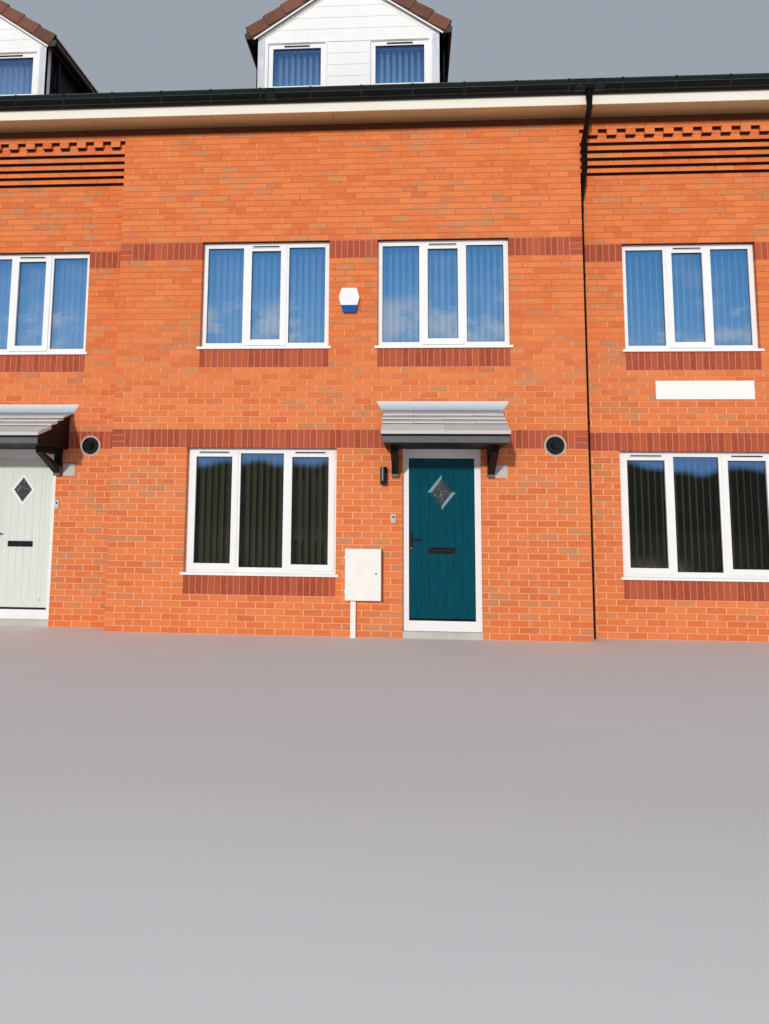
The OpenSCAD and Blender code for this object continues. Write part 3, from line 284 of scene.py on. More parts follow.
def front_wall(y):
    """Where a street front starts, the way along it and the way out of it."""
    return (0.0, y, 0.0), (1.0, 0.0, 0.0), (0.0, -1.0, 0.0)


def bays(a, b, pitch, start, least):
    """The lengths from a to b between joints every pitch, none nearer an end than least."""
    joints = []
    k = math.ceil((a + least - start) / pitch)
    while start + k * pitch < b - least:
        joints.append(start + k * pitch)
        k += 1
    return list(zip([a, *joints], [*joints, b]))


def beside(a, b, gaps):
    """What is left from a to b beside the gaps."""
    spans = [(a, b)]
    for gap_a, gap_b in gaps:
        cut = []
        for a, b in spans:
            cut += [(a, b)] if gap_b <= a or gap_a >= b else [(a, gap_a), (gap_b, b)]
        spans = [(a, b) for a, b in cut if b - a > 0.02]
    return spans


def course_bricks(wall, a, b, row, start, deep=0.0, drop=0.0, half_first=False):
    """One course from a to b in stretcher bond, its joints counted from start."""
    if (row % 2 == 1) != half_first:
        start += stretcher / 2
    bottom, top = row * course + joint / 2 - drop, (row + 1) * course - joint / 2
    return [[wall, u0 + (joint / 2 if u0 > a else 0.0), u1 - (joint / 2 if u1 < b else 0.0),
             bottom, top, deep, draw.random()]
            for u0, u1 in bays(a, b, stretcher, start, least_cut)]


def end_brick(made, last, reach, deep):
    """Runs a course's last brick, or its first one where last is 0, past the end of the course
    by reach, and its sides back by deep."""
    made[-last][1 + last] += reach if last else -reach
    made[-last][5] = deep


def openings(house, under=0.0):
    """Windows and doorway of a front as from, to, bottom and top, the windows' bottoms lower by
    what lies under their sills."""
    x1, x2, door = window_1[house], window_2[house], door_at[house]
    return [(x1 - window_w / 2, x1 + window_w / 2, sill_z - under, head_z),
            (door - door_w / 2, door + door_w / 2, 0.0, head_z),
            *((x - upper_w / 2, x + upper_w / 2, upper_sill_z - under, upper_head_z)
              for x in (x1, x2))]


def in_band(row):
    """Whether a course meets one of the two bands of soldier bricks."""
    return any(z - 0.01 < row * course < z + soldier_h - 0.01 for z in (head_z, upper_band_z))


def wall_bricks(wall, a, b, rows, holes, corners, start):
    """The courses of a wall from a to b, with its corner bricks and the bricks at openings."""
    bricks = []
    for row in range(rows):
        met = [(h0, h1) for h0, h1, low, high in holes
               if low < (row + 1) * course - 0.01 and high > row * course + 0.01]
        for u0, u1 in beside(a, b, met):
            made = course_bricks(wall, u0, u1, row, start)
            for last, edge in enumerate((u0, u1)):
                if edge in corners:
                    end_brick(made, last, proud, (brick_w, brick_l)[row % 2])
                elif edge not in (a, b):
                    end_brick(made, last, past_reveal, reveal)
            bricks += made
    return bricks


corbel_z, dentil_z = 5.625, 6.0
dentil_w, dentil_pitch = 0.112, 0.225
step_shade, dentil_shade = 0.022, 0.030
# Near-black red-brown for painted shade under the eaves, the corbel steps and dentils, and on
# undersides
painted_shade_colour = srgb(50, 12, 3)


def under_steps(finish):
    """1 in the shade under each corbel course, under each dentil and between the dentils."""
    corbels = ((finish.z > corbel_z - course) * (finish.z < dentil_z - course)
               * ((finish.z % course) > course - step_shade))
    along_row = (finish.x - corner_x - dentil_w
                 + (finish.x < 0.0) * (end_x + corner_x)) % dentil_pitch
    at_dentil = along_row < dentil_w
    low_shade = at_dentil * (finish.z > dentil_z - dentil_shade) * (finish.z < dentil_z)
    high_shade = ((1.0 - at_dentil) * (finish.z > dentil_z + course - dentil_shade)
                  * (finish.z < dentil_z + course))
    dentils = (low_shade + high_shade) * (finish.y > middle_front + 0.03)
    on_outer_front = ((abs(finish.x) > corner_x + 0.004) * (abs(finish.x) < end_x)
                      * (finish.y < outer_front + 0.002))
    return (corbels + dentils) * on_outer_front


def in_shade(finish, colour):
    """The colour with painted shade under the eaves and the steps and on every underside."""
    under_eaves = finish.z.ease(6.085, 6.15) * (abs(finish.x) < end_x - 0.01) * 0.88
    for share in (under_eaves, under_steps(finish) * 0.92, finish.underside() * 0.9):
        colour = finish.mix(share, colour, painted_shade_colour)
    return colour


def on_bed_joint(finish):
    """1 along the lying joints between the courses."""
    return abs(((finish.z + course / 2) % course) - course / 2) < joint * 0.62


brick = Finish("orange_facing_brick", rough=0.85, Specular_IOR_Level=0.15)
tone = brick.tone()
sand = brick.noise(260.0, 3.0, 0.6)
pitted = brick.noise(95.0, 5.0, 0.7, (1.0, 1.0, 1.6))
salmon = brick.noise(11.0, 4.0, 0.6).ease(0.48, 0.66)
kiln_mark = brick.noise(13.0, 4.0, 0.65, (0.45, 0.45, 2.4)).ease(0.42, 0.62)
gathered = (brick.noise(0.9, 3.0, 0.6, (0.5, 0.5, 1.8)) - 0.5) * 2.4
marked = ((tone * 17.0) % 1.0 + gathered).ease(0.72, 0.98) * kiln_mark
baked = brick.ramp(tone, (0.0, srgb(219, 115, 64)), (0.3, srgb(228, 127, 71)),
                   (0.6, srgb(233, 135, 79)), (0.85, srgb(226, 124, 72)),
                   (1.0, srgb(214, 110, 65)))
for share, colour in ((salmon * 0.4, (234, 138, 97)),
                      (pitted.ease(0.54, 0.68) * 0.4, (192, 92, 54)),
                      ((1.0 - pitted.ease(0.32, 0.44)) * 0.35, (250, 168, 112)),
                      (sand.ease(0.55, 0.8) * 0.25, (250, 172, 122)),
                      (marked * 0.8, (180, 142, 108))):
    baked = brick.mix(share, baked, srgb(*colour))
# The baked colour takes painted shade under the eaves and steps and on undersides
brick.set(Base_Color=in_shade(brick, baked), Roughness=0.78 + salmon * 0.12)
brick.bump(sand * 0.4 - pitted * 0.6 + kiln_mark * 0.3, 0.0018, 0.7)

mortars = {}
for face, side, wall_end in ((middle_front, 1, corner_x), (outer_front, 1, end_x),
                             (rear_face, -1, end_x)):
    bed = Finish("mortar_and_plaster_" + str(len(mortars)), rough=0.9, Specular_IOR_Level=0.15)
    inside = ((bed.y - face) * side).ease(0.15, 0.16) * (abs(bed.x) < wall_end - 0.01)
    grain = bed.noise(180.0, 4.0)
    damp = bed.noise(3.2, 5.0, 0.65, (1.0, 1.0, 3.0))
    damped = bed.ramp(damp, (0.4, srgb(178, 108, 70)), (0.6, srgb(228, 168, 124)))
    high = bed.z.ease(1.8, 4.4)
    upright_joint = bed.mix(high, srgb(241, 188, 150), damped)
    lying_joint = bed.mix(high, bed.between(grain, (230, 152, 110), (243, 180, 142)),
                          bed.between(grain, (190, 98, 56), (214, 124, 78)))
    pointed = bed.mix(on_bed_joint(bed), upright_joint, lying_joint)
    # The joints take the same painted shade as the bricks
    bed.set(Base_Color=in_shade(bed, bed.mix(inside, pointed, srgb(228, 224, 214))))
    bed.bump(grain, 0.001, 0.4)
    mortars[face] = bed
dress(mortars[middle_front], "centre_window_wall", "centre_door_pier", "centre_upper_wall")
dress(mortars[outer_front], "left_window_wall", "left_door_pier", "left_upper_wall",
      "right_lower_wall", "right_upper_wall", "corbel_panels")
dress(mortars[rear_face], "left_rear_wall", "centre_rear_wall", "right_rear_wall")

plaster = mottled("skimmed_plaster", 0.85, (222, 218, 208), (234, 231, 224), 3.0, 5.0,
                  bump=(0.002, 0.3))
dress(plaster, "party_walls")

for house in houses:
    left, right = span_of[house]
    bands = [(left, right, z, z + soldier_h) for z in (head_z, upper_band_z)]
    rows = wall_rows if house == "middle" else corbel_first
    lay(f"{house}_front_bricks",
        wall_bricks(front_wall(face_of[house]), left, right, rows,
                    openings(house, soldier_h) + bands, corners_of[house], left),
        brick)
rear_wall = ((0.0, rear_face, 0.0), (-1.0, 0.0, 0.0), (0.0, 1.0, 0.0))
for house in houses:
    left, right = span_of[house]
    mirrored = [(-b, -a, low, high) for a, b, low, high in openings(house)]
    lay(f"{house}_rear_bricks",
        wall_bricks(rear_wall, -right, -left, wall_rows, mirrored, (-end_x, end_x), -end_x),
        brick)

# ---- End walls and returns ----
# The same bricks up the plain end walls to the underside of the slopes, and on the short returns
# where the middle house stands forward. Headers and stretchers take turns at the corners.
gable_bed = Finish("mortar_of_the_end_walls", rough=0.9, Specular_IOR_Level=0.15)
grain = gable_bed.noise(180.0, 4.0)
gable_joint = gable_bed.mix(on_bed_joint(gable_bed),
                            gable_bed.between(grain, (206, 150, 112), (230, 186, 148)),
                            gable_bed.between(grain, (186, 98, 60), (212, 132, 90)))
gable_bed.set(Base_Color=gable_bed.mix(abs(gable_bed.x).ease(7.40, 7.41), srgb(228, 224, 214),
                                       gable_joint))
gable_bed.bump(grain, 0.001, 0.4)
dress(gable_bed, "end_walls")

roof_pitch = math.radians(25.0)
roof_slope = math.tan(roof_pitch)
fascia_top, fascia_y, roof_drop = 6.485, 4.57, 0.18 / math.cos(roof_pitch)
wall_t, least_row = 0.3, 0.1


def roof_top(y):
    return fascia_top + (fascia_y - abs(y)) * roof_slope


def roof_reach(z):
    """How far from the ridge the slopes come down to a height."""
    return fascia_y - (z - fascia_top) / roof_slope


for side, name in ((-1, "left"), (1, "right")):
    along, out = (0.0, float(side), 0.0), (float(side), 0.0, 0.0)
    end_wall = ((side * end_x, 0.0, 0.0), along, out)
    bricks = []
    for row in range(math.ceil((roof_top(0.0) - roof_drop) / course)):
        if row < wall_rows:
            quoin = stretcher if row % 2 else header
            front_quoin = header if in_band(row) or row >= corbel_first else quoin
            ends = outer_front + front_quoin, rear_face - quoin
        else:
            reach = roof_reach(row * course + roof_drop)
            ends = max(outer_front + wall_t, -reach), min(rear_face - wall_t, reach)
        if side < 0:
            ends = -ends[1], -ends[0]
        if ends[1] - ends[0] > least_row:
            bricks += course_bricks(end_wall, *ends, row, side * outer_front, half_first=True)
    lay(f"{name}_end_wall_bricks", bricks, brick)
    return_wall = ((side * corner_x, middle_front, 0.0), along, out)
    bricks = []
    for row in range(wall_rows):
        quoin = header if in_band(row) or row % 2 == 0 else stretcher
        u0, u1 = sorted((side * quoin, side * (outer_front - middle_front)))
        bricks.append([return_wall, u0, u1, row * course + joint / 2,
                       (row + 1) * course - joint / 2, 0.0, draw.random()])
    lay(f"{name}_return_bricks", bricks, brick)

# ---- Soldier courses ----
# Plum bricks stood on end in paler mortar: a band over the ground openings, a band at the heads
# of the upper windows and a strip under every front window. At the middle house's corners each
# band ends in three flat plum bricks.
plum = Finish("plum_soldier_brick", rough=0.8, Specular_IOR_Level=0.25)
drag = plum.noise(40.0, 3.0, 0.6, (1.0, 1.0, 0.25))
fired = plum.ramp(plum.tone(), (0.0, srgb(158, 72, 52)), (0.5, srgb(172, 80, 56)),
                  (0.85, srgb(182, 90, 66)), (1.0, srgb(192, 92, 56)))
fired = plum.mix(drag.ease(0.35, 0.75) * 0.5, fired, srgb(188, 102, 76))
# Undersides of the soldiers take painted shade
plum.set(Base_Color=plum.mix(plum.underside() * 0.9, fired, painted_shade_colour))
plum.bump(drag, 0.0012, 0.5)
pale_bed = mottled("pale_pointing", 0.9, (198, 118, 88), (216, 146, 114), 200.0, 3.0,
                   bump=(0.001, 0.4))
dress(pale_bed, "soldier_courses")

soldier_pitch, flat_l, flat_rows, from_end = 0.075, 0.150, 3, 0.2
soldiers = []
for house in houses:
    left, right = span_of[house]
    wall = front_wall(face_of[house])
    ground_window, doorway, *windows = [(a, b) for a, b, _, _ in openings(house)]
    bands = [(left, right, head_z)]
    bands += [(a, b, upper_band_z) for a, b in beside(left, right, windows)]
    bands += [(a, b, upper_sill_z - soldier_h) for a, b in windows]
    bands += [(*ground_window, sill_z - soldier_h)]
    for a, b, z0 in bands:
        flats = [house == "middle" and a == left, house == "middle" and b == right]
        for flat, edge, sign in zip(flats, (a, b), (1, -1)):
            for k in range(flat_rows if flat else 0):
                u0, u1 = sorted((edge - sign * proud, edge + sign * (flat_l - joint / 2)))
                soldiers.append([wall, u0, u1, z0 + k * course + joint / 2,
                                 z0 + (k + 1) * course - joint / 2, brick_w, draw.random()])
        a += flat_l * flats[0]
        b -= flat_l * flats[1]
        count = round((b - a) / soldier_pitch)
        pitch = (b - a) / count
        for k in range(count):
            first, last = k == 0, k == count - 1
            u0, u1 = a + k * pitch + joint / 2, a + (k + 1) * pitch - joint / 2
            over = z0 == head_z and any(g0 < (u0 + u1) / 2 < g1
                                        for g0, g1 in (ground_window, doorway))
            wraps = (first and a == -end_x) or (last and b == end_x)
            by_window = z0 == upper_band_z and ((first and a - left > from_end)
                                                or (last and right - b > from_end))
            deep = brick_w if wraps else reveal if over or by_window else 0.0
            reach = joint / 2 + (proud if wraps else past_reveal) if wraps or by_window else 0.0
            u0 -= reach if first else 0.0
            u1 += reach if last else 0.0
            soldiers.append([wall, u0, u1, z0 + (-past_reveal if over else joint / 2),
                             z0 + soldier_h - joint / 2, deep, draw.random()])
lay("soldier_bricks", soldiers, plum)

# ---- Corbelled panels ----
# Under the eaves of the outer houses five courses step out one above the other, then come a
# course of dentil headers and two courses in line with the front of the middle house.
steps = 5
all_out = outer_front - middle_front
course_deep, dentil_deep, bed_cover = 0.07, 0.055, 0.002
for house in ("left", "right"):
    left, right = span_of[house]
    bricks = []
    for k in range(corbel_rows):
        out_by = all_out * min(k + 1, steps) / (steps + 1) if k <= steps else all_out
        drop = 0.0 if k in (steps, corbel_rows - 1) else bed_cover + joint / 2
        made = course_bricks(front_wall(outer_front - out_by), left, right, corbel_first + k,
                             left, course_deep, drop)
        end_brick(made, house == "right", proud, out_by + brick_w)
        bricks += made
    low = (corbel_first + steps) * course
    x = left + dentil_w
    while x <= right - dentil_w + 1e-6:
        bricks.append([front_wall(middle_front), x - bed_cover, x + dentil_w + bed_cover,
                       low - bed_cover, low + course - joint / 2, dentil_deep, draw.random()])
        x += dentil_pitch
    lay(f"{house}_corbel_bricks", bricks, brick)

# ---- Roof ----
# Flat interlocking concrete tiles, plum-brown, on battens: each row laps the one below with a
# thick lower edge, and the joints break from row to row. Half-round ridge tiles cap the ridge.
roof_tile = Finish("brown_roof_tile", rough=0.8)
weather = roof_tile.noise(5.0, 5.0, 0.6)
speck = roof_tile.noise(220.0, 3.0)
upper_side = roof_tile.ramp(roof_tile.tone(), (0.0, srgb(104, 70, 58)), (0.5, srgb(118, 78, 64)),
                            (1.0, srgb(130, 88, 72)))
upper_side = roof_tile.mix(weather.ease(0.4, 0.8) * 0.3, upper_side, srgb(140, 104, 88))
# Tile undersides are painted near black as shade
roof_tile.set(Base_Color=roof_tile.mix(roof_tile.facing(2) < -0.5, upper_side, srgb(20, 15, 15)))
roof_tile.bump(speck * 0.6 + weather * 0.4, 0.0015, 0.6)
dress(roof_tile, "roof_front", "roof_rear")
ridge_clay = mottled("ridge_tile", 0.75, (100, 64, 54), (124, 82, 68), 60.0, 4.0,
                     bump=(0.001, 0.5))
dress(ridge_clay, "ridge_tiles")


def slabs(name, blocks, finish, body="row"):
    """Six-sided slabs, each given by eight corners: four below, four above, in the same turn."""
    corners = np.array([b[0] for b in blocks], float)
    quads = [(3, 2, 1, 0), (4, 5, 6, 7), (0, 1, 5, 4), (1, 2, 6, 5), (2, 3, 7, 6), (3, 0, 4, 7)]
    return many(name, corners, quads, [b[1] for b in blocks], finish, body)


even_tone = 0.5


def slab_box(x0, x1, y0, y1, z0, z1):
    """A slab with square corners between two places on each axis."""
    (x0, x1), (y0, y1) = sorted((x0, x1)), sorted((y0, y1))
    return ([(x0, y0, z0), (x1, y0, z0), (x1, y1, z0), (x0, y1, z0),
             (x0, y0, z1), (x1, y0, z1), (x1, y1, z1), (x0, y1, z1)], even_tone)


def outwards(corners, mirrored):
    """A slab's corners, put in the turn that keeps its faces outwards on a mirrored side."""
    return [corners[k] for k in (1, 0, 3, 2, 5, 4, 7, 6)] if mirrored else corners


def tile(foot, head, under, over, mirrored=False):
    """A tile on two corners at its foot and two at its head. Under and over say how far off
    them its lower and upper face lie, at the foot and at the head."""
    corners = []
    for at_foot, at_head in (under, over):
        corners += [(x, y, z + at_foot) for x, y, z in foot]
        corners += [(x, y, z + at_head) for x, y, z in head]
    return outwards(corners, mirrored), draw.random()


gauge, cover, least_tile, tile_gap = 0.272, 0.290, 0.04, 0.003
tile_bed, tile_nose, tile_lap = (-0.005, -0.005), 0.022, 0.004
eaves_over, roof_half = 0.03, end_x + 0.04
dormers = (-5.25, -0.025)
dormer_face, dormer_side, dormer_half = -3.9, 1.19, 1.306
dormer_pitch = math.radians(34.0)
dormer_slope = math.tan(dormer_pitch)
dormer_ridge = roof_top(0.0) - 0.075
dormer_eaves = dormer_ridge - dormer_half * dormer_slope
dormer_back = roof_reach(dormer_eaves - 0.15)
run = gauge * math.cos(roof_pitch)
for side, name in ((-1, "front"), (1, "rear")):
    blocks = []
    for row in range(math.ceil((fascia_y + eaves_over) / run)):
        y_low = fascia_y + eaves_over - row * run
        y_high = max(0.0, y_low - run)
        by_dormer = side < 0 and y_low > dormer_back and (y_low + y_high) / 2 < -dormer_face
        gaps = [(d - dormer_side, d + dormer_side) for d in dormers] if by_dormer else []
        start = -roof_half + (cover / 2 if row % 2 else 0.0)
        for a, b in beside(-roof_half, roof_half, gaps):
            for x0, x1 in bays(a, b, cover, start, least_tile):
                x0, x1 = x0 + tile_gap / 2, x1 - tile_gap / 2
                nose = tile_nose + draw.uniform(-0.001, 0.002)
                foot = [(x, side * y_low, roof_top(y_low)) for x in (x0, x1)]
                head = [(x, side * y_high, roof_top(y_high)) for x in (x1, x0)]
                blocks.append(tile(foot, head, tile_bed, (nose, tile_lap), side > 0))
    slabs(f"{name}_roof_tiles", blocks, roof_tile)

# ---- Dormers ----
# Timber dormers with a tiled gable roof, faced with white plastic weatherboards between pale
# grey corner posts. Each roof tile at the verge is turned down over a white box board.
white_board = Finish("white_plastic_board", rough=0.42)
streak = white_board.noise(6.0, 4.0, 0.6, (1.0, 1.0, 0.3))
white_board.set(Base_Color=white_board.ramp(streak, (0.3, srgb(244, 244, 242)),
                                            (0.75, srgb(250, 250, 249))))
white_board.bump(streak, 0.001, 0.15)
dress(white_board, "dormer_fronts", "dormer_bargeboards")
grey_post = Finish("pale_grey_post", rough=0.5)
rain = grey_post.noise(14.0, 4.0, 0.6, (1.0, 1.0, 0.25))
grey_post.set(Base_Color=grey_post.ramp(rain, (0.35, srgb(200, 206, 214)),
                                        (0.65, srgb(222, 227, 233))))
grey_post.bump(rain, 0.001, 0.2)
dark_cheek = Finish("dark_cheek_board", rough=0.5, Specular_IOR_Level=0.15)
streak = dark_cheek.noise(8.0, 4.0, 0.6, (1.0, 1.0, 4.0))
dark_cheek.set(Base_Color=dark_cheek.ramp(streak, (0.3, srgb(6, 10, 26)), (0.8, srgb(15, 21, 42))))
seam = (dark_cheek.z % 0.159) < 0.006
dark_cheek.bump(1.0 - seam, 0.004, 0.6)
dress(dark_cheek, "dormer_cheeks")
dormer_skin = Finish("dormer_roof_skin", rough=0.6)
upper_side = dormer_skin.between(dormer_skin.noise(60.0), (86, 56, 46), (106, 70, 58))
# Undersides of the dormer roofs are painted near black as shade
dormer_skin.set(Base_Color=dormer_skin.mix(dormer_skin.facing(2) < -0.5, upper_side,
                                           srgb(14, 14, 16)))
dress(dormer_skin, "dormer_roofs")

dormer_verge, dormer_over, verge_gap = -4.0, 0.02, 0.002
first_tile, valley_lap, ridge_strip = dormer_verge + 0.03, 0.05, 0.05
verge_front, verge_back = dormer_verge - 0.014, dormer_verge + 0.032
cheek_under, cheek_over = (-0.126, -0.144), (0.026, 0.006)
box_front, box_back, box_half = dormer_verge + 0.008, dormer_verge + 0.095, 1.225
box_under, box_over = (0.170, 0.136), (0.125, 0.125)
under_z = dormer_ridge - 0.15 / math.cos(dormer_pitch)
post_head = under_z - dormer_side * dormer_slope
pane_w, pane_top, pane_x = 0.75, dormer_eaves - 0.170, 0.671
pane_foot, panel_half = pane_top - 0.64, pane_x - pane_w / 2 - 0.026
post_foot, trim_edge, post_edge, post_out = 6.70, 1.048, 1.094, dormer_side + 0.004
post_front, trim_front, trim_w = dormer_face - 0.020, dormer_face - 0.014, 0.020
board_pitch, board_out, board_in, board_back = 0.1585, 0.008, 0.003, dormer_face + 0.01


def weatherboard(foot, head, low, high):
    """A board that stands out more at its foot, where it laps over the one below."""
    corners = []
    for (x0, x1), out, z in ((foot, board_out, low + 0.002), (head, board_in, high - 0.001)):
        corners += [(x0, dormer_face - out, z), (x1, dormer_face - out, z),
                    (x1, board_back, z), (x0, board_back, z)]
    return corners, even_tone


tiles, verge_tiles, verge_boxes, boards, trims, posts = [], [], [], [], [], []
run = gauge * math.cos(dormer_pitch)
for d in dormers:
    for side in (-1, 1):
        along = Vector((side * -math.cos(dormer_pitch), 0.0, math.sin(dormer_pitch)))
        across = Vector((side * math.sin(dormer_pitch), 0.0, math.cos(dormer_pitch)))
        for row in range(math.ceil((dormer_half - ridge_strip) / run)):
            x_low = dormer_half + dormer_over - row * run
            x_high = max(0.0, x_low - run)
            z_low, z_high = (dormer_ridge - x * dormer_slope for x in (x_low, x_high))
            y_end = -roof_reach(z_low + valley_lap)
            start = first_tile + (cover / 2 if row % 2 else 0.0)
            for y0, y1 in bays(first_tile, y_end, cover, start, least_tile):
                y0, y1 = y0 + tile_gap / 2, y1 - tile_gap / 2
                tiles.append(tile([(d + side * x_low, y, z_low) for y in (y0, y1)],
                                  [(d + side * x_high, y, z_high) for y in (y1, y0)],
                                  tile_bed, (tile_nose, tile_lap), side < 0))
            # The verge tile's cheek laps the one below and steps out with it
            foot = Vector((d + side * x_low, 0.0, z_low))
            far = (gauge if x_high > 0.0 else x_low / math.cos(dormer_pitch)) - verge_gap
            corners = []
            for at_foot, at_head in (cheek_under, cheek_over):
                for s, y, lift in ((verge_gap, verge_front, at_foot),
                                   (verge_gap, verge_back, at_foot), (far, verge_back, at_head),
                                   (far, verge_front + 0.006, at_head)):
                    point = foot + along * s + across * lift
                    corners.append((point.x, y, point.z))
            verge_tiles.append((outwards(corners, side < 0), draw.random()))
        corners = []
        for front_down, back_down in (box_under, box_over):
            for x, y, down in ((box_half, box_front, front_down), (box_half, box_back, back_down),
                               (0.0, box_back, back_down), (0.0, box_front, front_down)):
                z = dormer_ridge - x * dormer_slope - down / math.cos(dormer_pitch)
                corners.append((d + side * x, y, z))
        verge_boxes.append((outwards(corners, side < 0), even_tone))
        trims.append(slab_box(d + side * trim_edge, d + side * (post_edge - 0.003), trim_front,
                              dormer_face + 0.02, post_foot, pane_top + 0.022))
        for inner, back in ((post_edge, 0.02), (dormer_side - 0.01, 0.09)):
            posts.append(slab_box(d + side * inner, d + side * post_out, post_front,
                                  dormer_face + back, post_foot, post_head))
        trims.append(slab_box(d + side * (panel_half + 0.002),
                              d + side * (panel_half + 0.002 + trim_w), trim_front, board_back,
                              post_foot, pane_top))
    trims.append(slab_box(d - post_edge, d + post_edge, dormer_face - 0.016, board_back,
                          pane_top + 0.001, pane_top + trim_w))
    z, top = pane_top + 0.022, under_z - 0.02
    while z < top:
        z1 = min(z + board_pitch, top)
        low_half = min(dormer_side, (under_z - z) / dormer_slope)
        high_half = min(dormer_side, (under_z - z1) / dormer_slope)
        boards.append(weatherboard((d - low_half, d + low_half), (d - high_half, d + high_half),
                                   z, z1))
        z += board_pitch
    z = pane_top
    while z > pane_foot:
        ends = (d - panel_half, d + panel_half)
        boards.append(weatherboard(ends, ends, z - board_pitch, z))
        z -= board_pitch
slabs("dormer_tiles", tiles, roof_tile)
slabs("dormer_verge_tiles", verge_tiles, roof_tile)
slabs("dormer_verge_boxes", verge_boxes, white_board)
slabs("dormer_weatherboards", boards, white_board)
slabs("dormer_trims", trims, white_board)
slabs("dormer_corner_posts", posts, grey_post)

# ---- Fascias and soffits ----
# Cream plastic fascia boards on the rafter feet, with soffit boards of the same plastic behind
# them, which close the eaves back to the brickwork.
fascia_finish = Finish("cream_fascia", rough=0.35)
wipe = fascia_finish.noise(4.0, 5.0, 0.6, (0.3, 1.0, 3.0))
cream = fascia_finish.between(wipe, (243, 236, 218), (248, 243, 230))
# Painted shadow of the gutter along the top of the fascia
gutter_shadow = fascia_finish.z.ease(6.318, 6.345) * 0.95
fascia_finish.set(Base_Color=fascia_finish.mix(gutter_shadow, cream, srgb(14, 11, 10)))
fascia_finish.bump(wipe, 0.0008, 0.15)
dress(fascia_finish, "fascias")
soffit_finish = Finish("cream_soffit", rough=0.5)
dusty = soffit_finish.noise(3.0, 5.0, 0.6, (0.4, 4.0, 1.0))
board_joint = ((soffit_finish.x + 0.165) % 1.5) < 0.006
# The soffit's cream is painted darker and warmer for the shade under the eaves and the orange
# light thrown up by the bricks, and darker again near the wall
shaded_cream = soffit_finish.between(dusty, (182, 164, 118), (196, 178, 130))
shade_by_wall = soffit_finish.mix(abs(soffit_finish.y).ease(4.2, 4.52), srgb(138, 112, 78), shaded_cream)
soffit_finish.set(Base_Color=soffit_finish.mix(board_joint, shade_by_wall, srgb(128, 108, 76)))
dress(soffit_finish, "soffits")

# ---- Gutters and downpipes ----
# Black plastic deep-flow gutters on fascia brackets, grey along the flat upper front with dust
# and painted light, where that face catches the light above the shaded curve, and round downpipes
# with swan necks and sockets. The dormers have small gutters of their own.
black_plastic = Finish("black_plastic", rough=0.3, Specular_IOR_Level=0.2)
dust = black_plastic.noise(12.0, 4.0)
# The flat upper front is lighter: dust, and painted light where it faces the light above the
# shaded curve
above_curve = black_plastic.z.ease(6.421, 6.427) * (1.0 - black_plastic.z.ease(6.60, 6.61))
shiny = black_plastic.ramp(dust, (0.3, srgb(3, 4, 4)), (0.8, srgb(12, 13, 13)))
black_plastic.set(Base_Color=black_plastic.mix(above_curve, shiny, srgb(27, 33, 32)),
                  Roughness=0.25 + dust * 0.2)
dress(black_plastic, "gutters", "downpipes")
bracket_black = mottled("bracket_black", 0.5, (4, 4, 5), (10, 10, 11), 30.0)
# Grey for the dormer gutter stop ends, and dust with a painted highlight on the gutters' beads
bead_grey = mottled("grey_stop_ends_and_bead_highlight", 0.4, (52, 60, 57), (72, 80, 76), 20.0)

gutter_w, gutter_h, gutter_y = 0.125, 0.120, 4.6325
spring = -(gutter_h - gutter_w / 2)
profile = [(gutter_w / 2, 0.0), (gutter_w / 2, spring)]
profile += [(gutter_w / 2 * math.cos(a), spring - gutter_w / 2 * math.sin(a))
            for a in (math.radians(t) for t in range(15, 166, 15))]


def gutter_band(x, half, side, stand):
    """A strap round the outside of the gutter, from its front rim to its back."""
    blocks = []
    for pair in zip(profile[:-1], profile[1:]):
        outer = []
        for v, w in pair:
            r = math.hypot(v, w - spring)
            outer.append((v + stand, w) if w >= spring - 1e-9 else
                         (v * (r + stand) / r, spring + (w - spring) * (r + stand) / r))
        ring = [pair[0], pair[1], outer[1], outer[0]]
        corners = [(at, side * (gutter_y + v), fascia_top + w)
                   for at in (x - half, x + half) for v, w in ring]
        if side > 0:
            corners = [corners[k] for k in (3, 2, 1, 0, 7, 6, 5, 4)]
        blocks.append((corners, even_tone))
    return blocks


straps, beads = [], []
strap_half, strap_pitch, strap_t, first_strap = 0.012, 0.6115, 0.004, -7.14
nose_from, nose_to, nose_low, nose_high = 0.054, 0.069, -0.004, 0.008
outlet_x, unions, union_half, collar_half = 2.878, (-4.9, -0.9, 5.9), 0.06, 0.045
for side in (-1, 1):
    x = first_strap
    while x < roof_half:
        straps += gutter_band(x, strap_half, side, strap_t)
        straps.append(slab_box(x - strap_half, x + strap_half, side * (gutter_y + nose_from),
                               side * (gutter_y + nose_to), fascia_top + nose_low,
                               fascia_top + nose_high))
        x += strap_pitch
    # Beads along the middle and the rim of each gutter, grey as a painted highlight on the curve
    # with dust
    for v0, v1, low, high in ((0.060, 0.0665, -0.064, -0.058), (0.056, 0.0665, -0.008, 0.003)):
        beads.append(slab_box(-roof_half, roof_half, side * (gutter_y + v0),
                              side * (gutter_y + v1), fascia_top + low, fascia_top + high))
    for x in (*unions, outlet_x - 0.11, outlet_x + 0.11):
        for dx in (-collar_half, collar_half):
            straps += gutter_band(x + dx, strap_half, side, 2 * strap_t)
        straps += gutter_band(x, union_half, side, strap_t)
slabs("gutter_brackets", straps, bracket_black)
slabs("gutter_beads", beads, bead_grey)


def upright_tube(x, y, z0, z1, radius):
    """A closed round bar that stands upright."""
    sides = 14
    corners = [(x + radius * math.cos(2 * math.pi * k / sides),
                y + radius * math.sin(2 * math.pi * k / sides), z)
               for z in (z0, z1) for k in range(sides)]
    faces = [(k, (k + 1) % sides, sides + (k + 1) % sides, sides + k) for k in range(sides)]
    return corners, faces + [tuple(range(sides - 1, -1, -1)), tuple(range(sides, 2 * sides))]


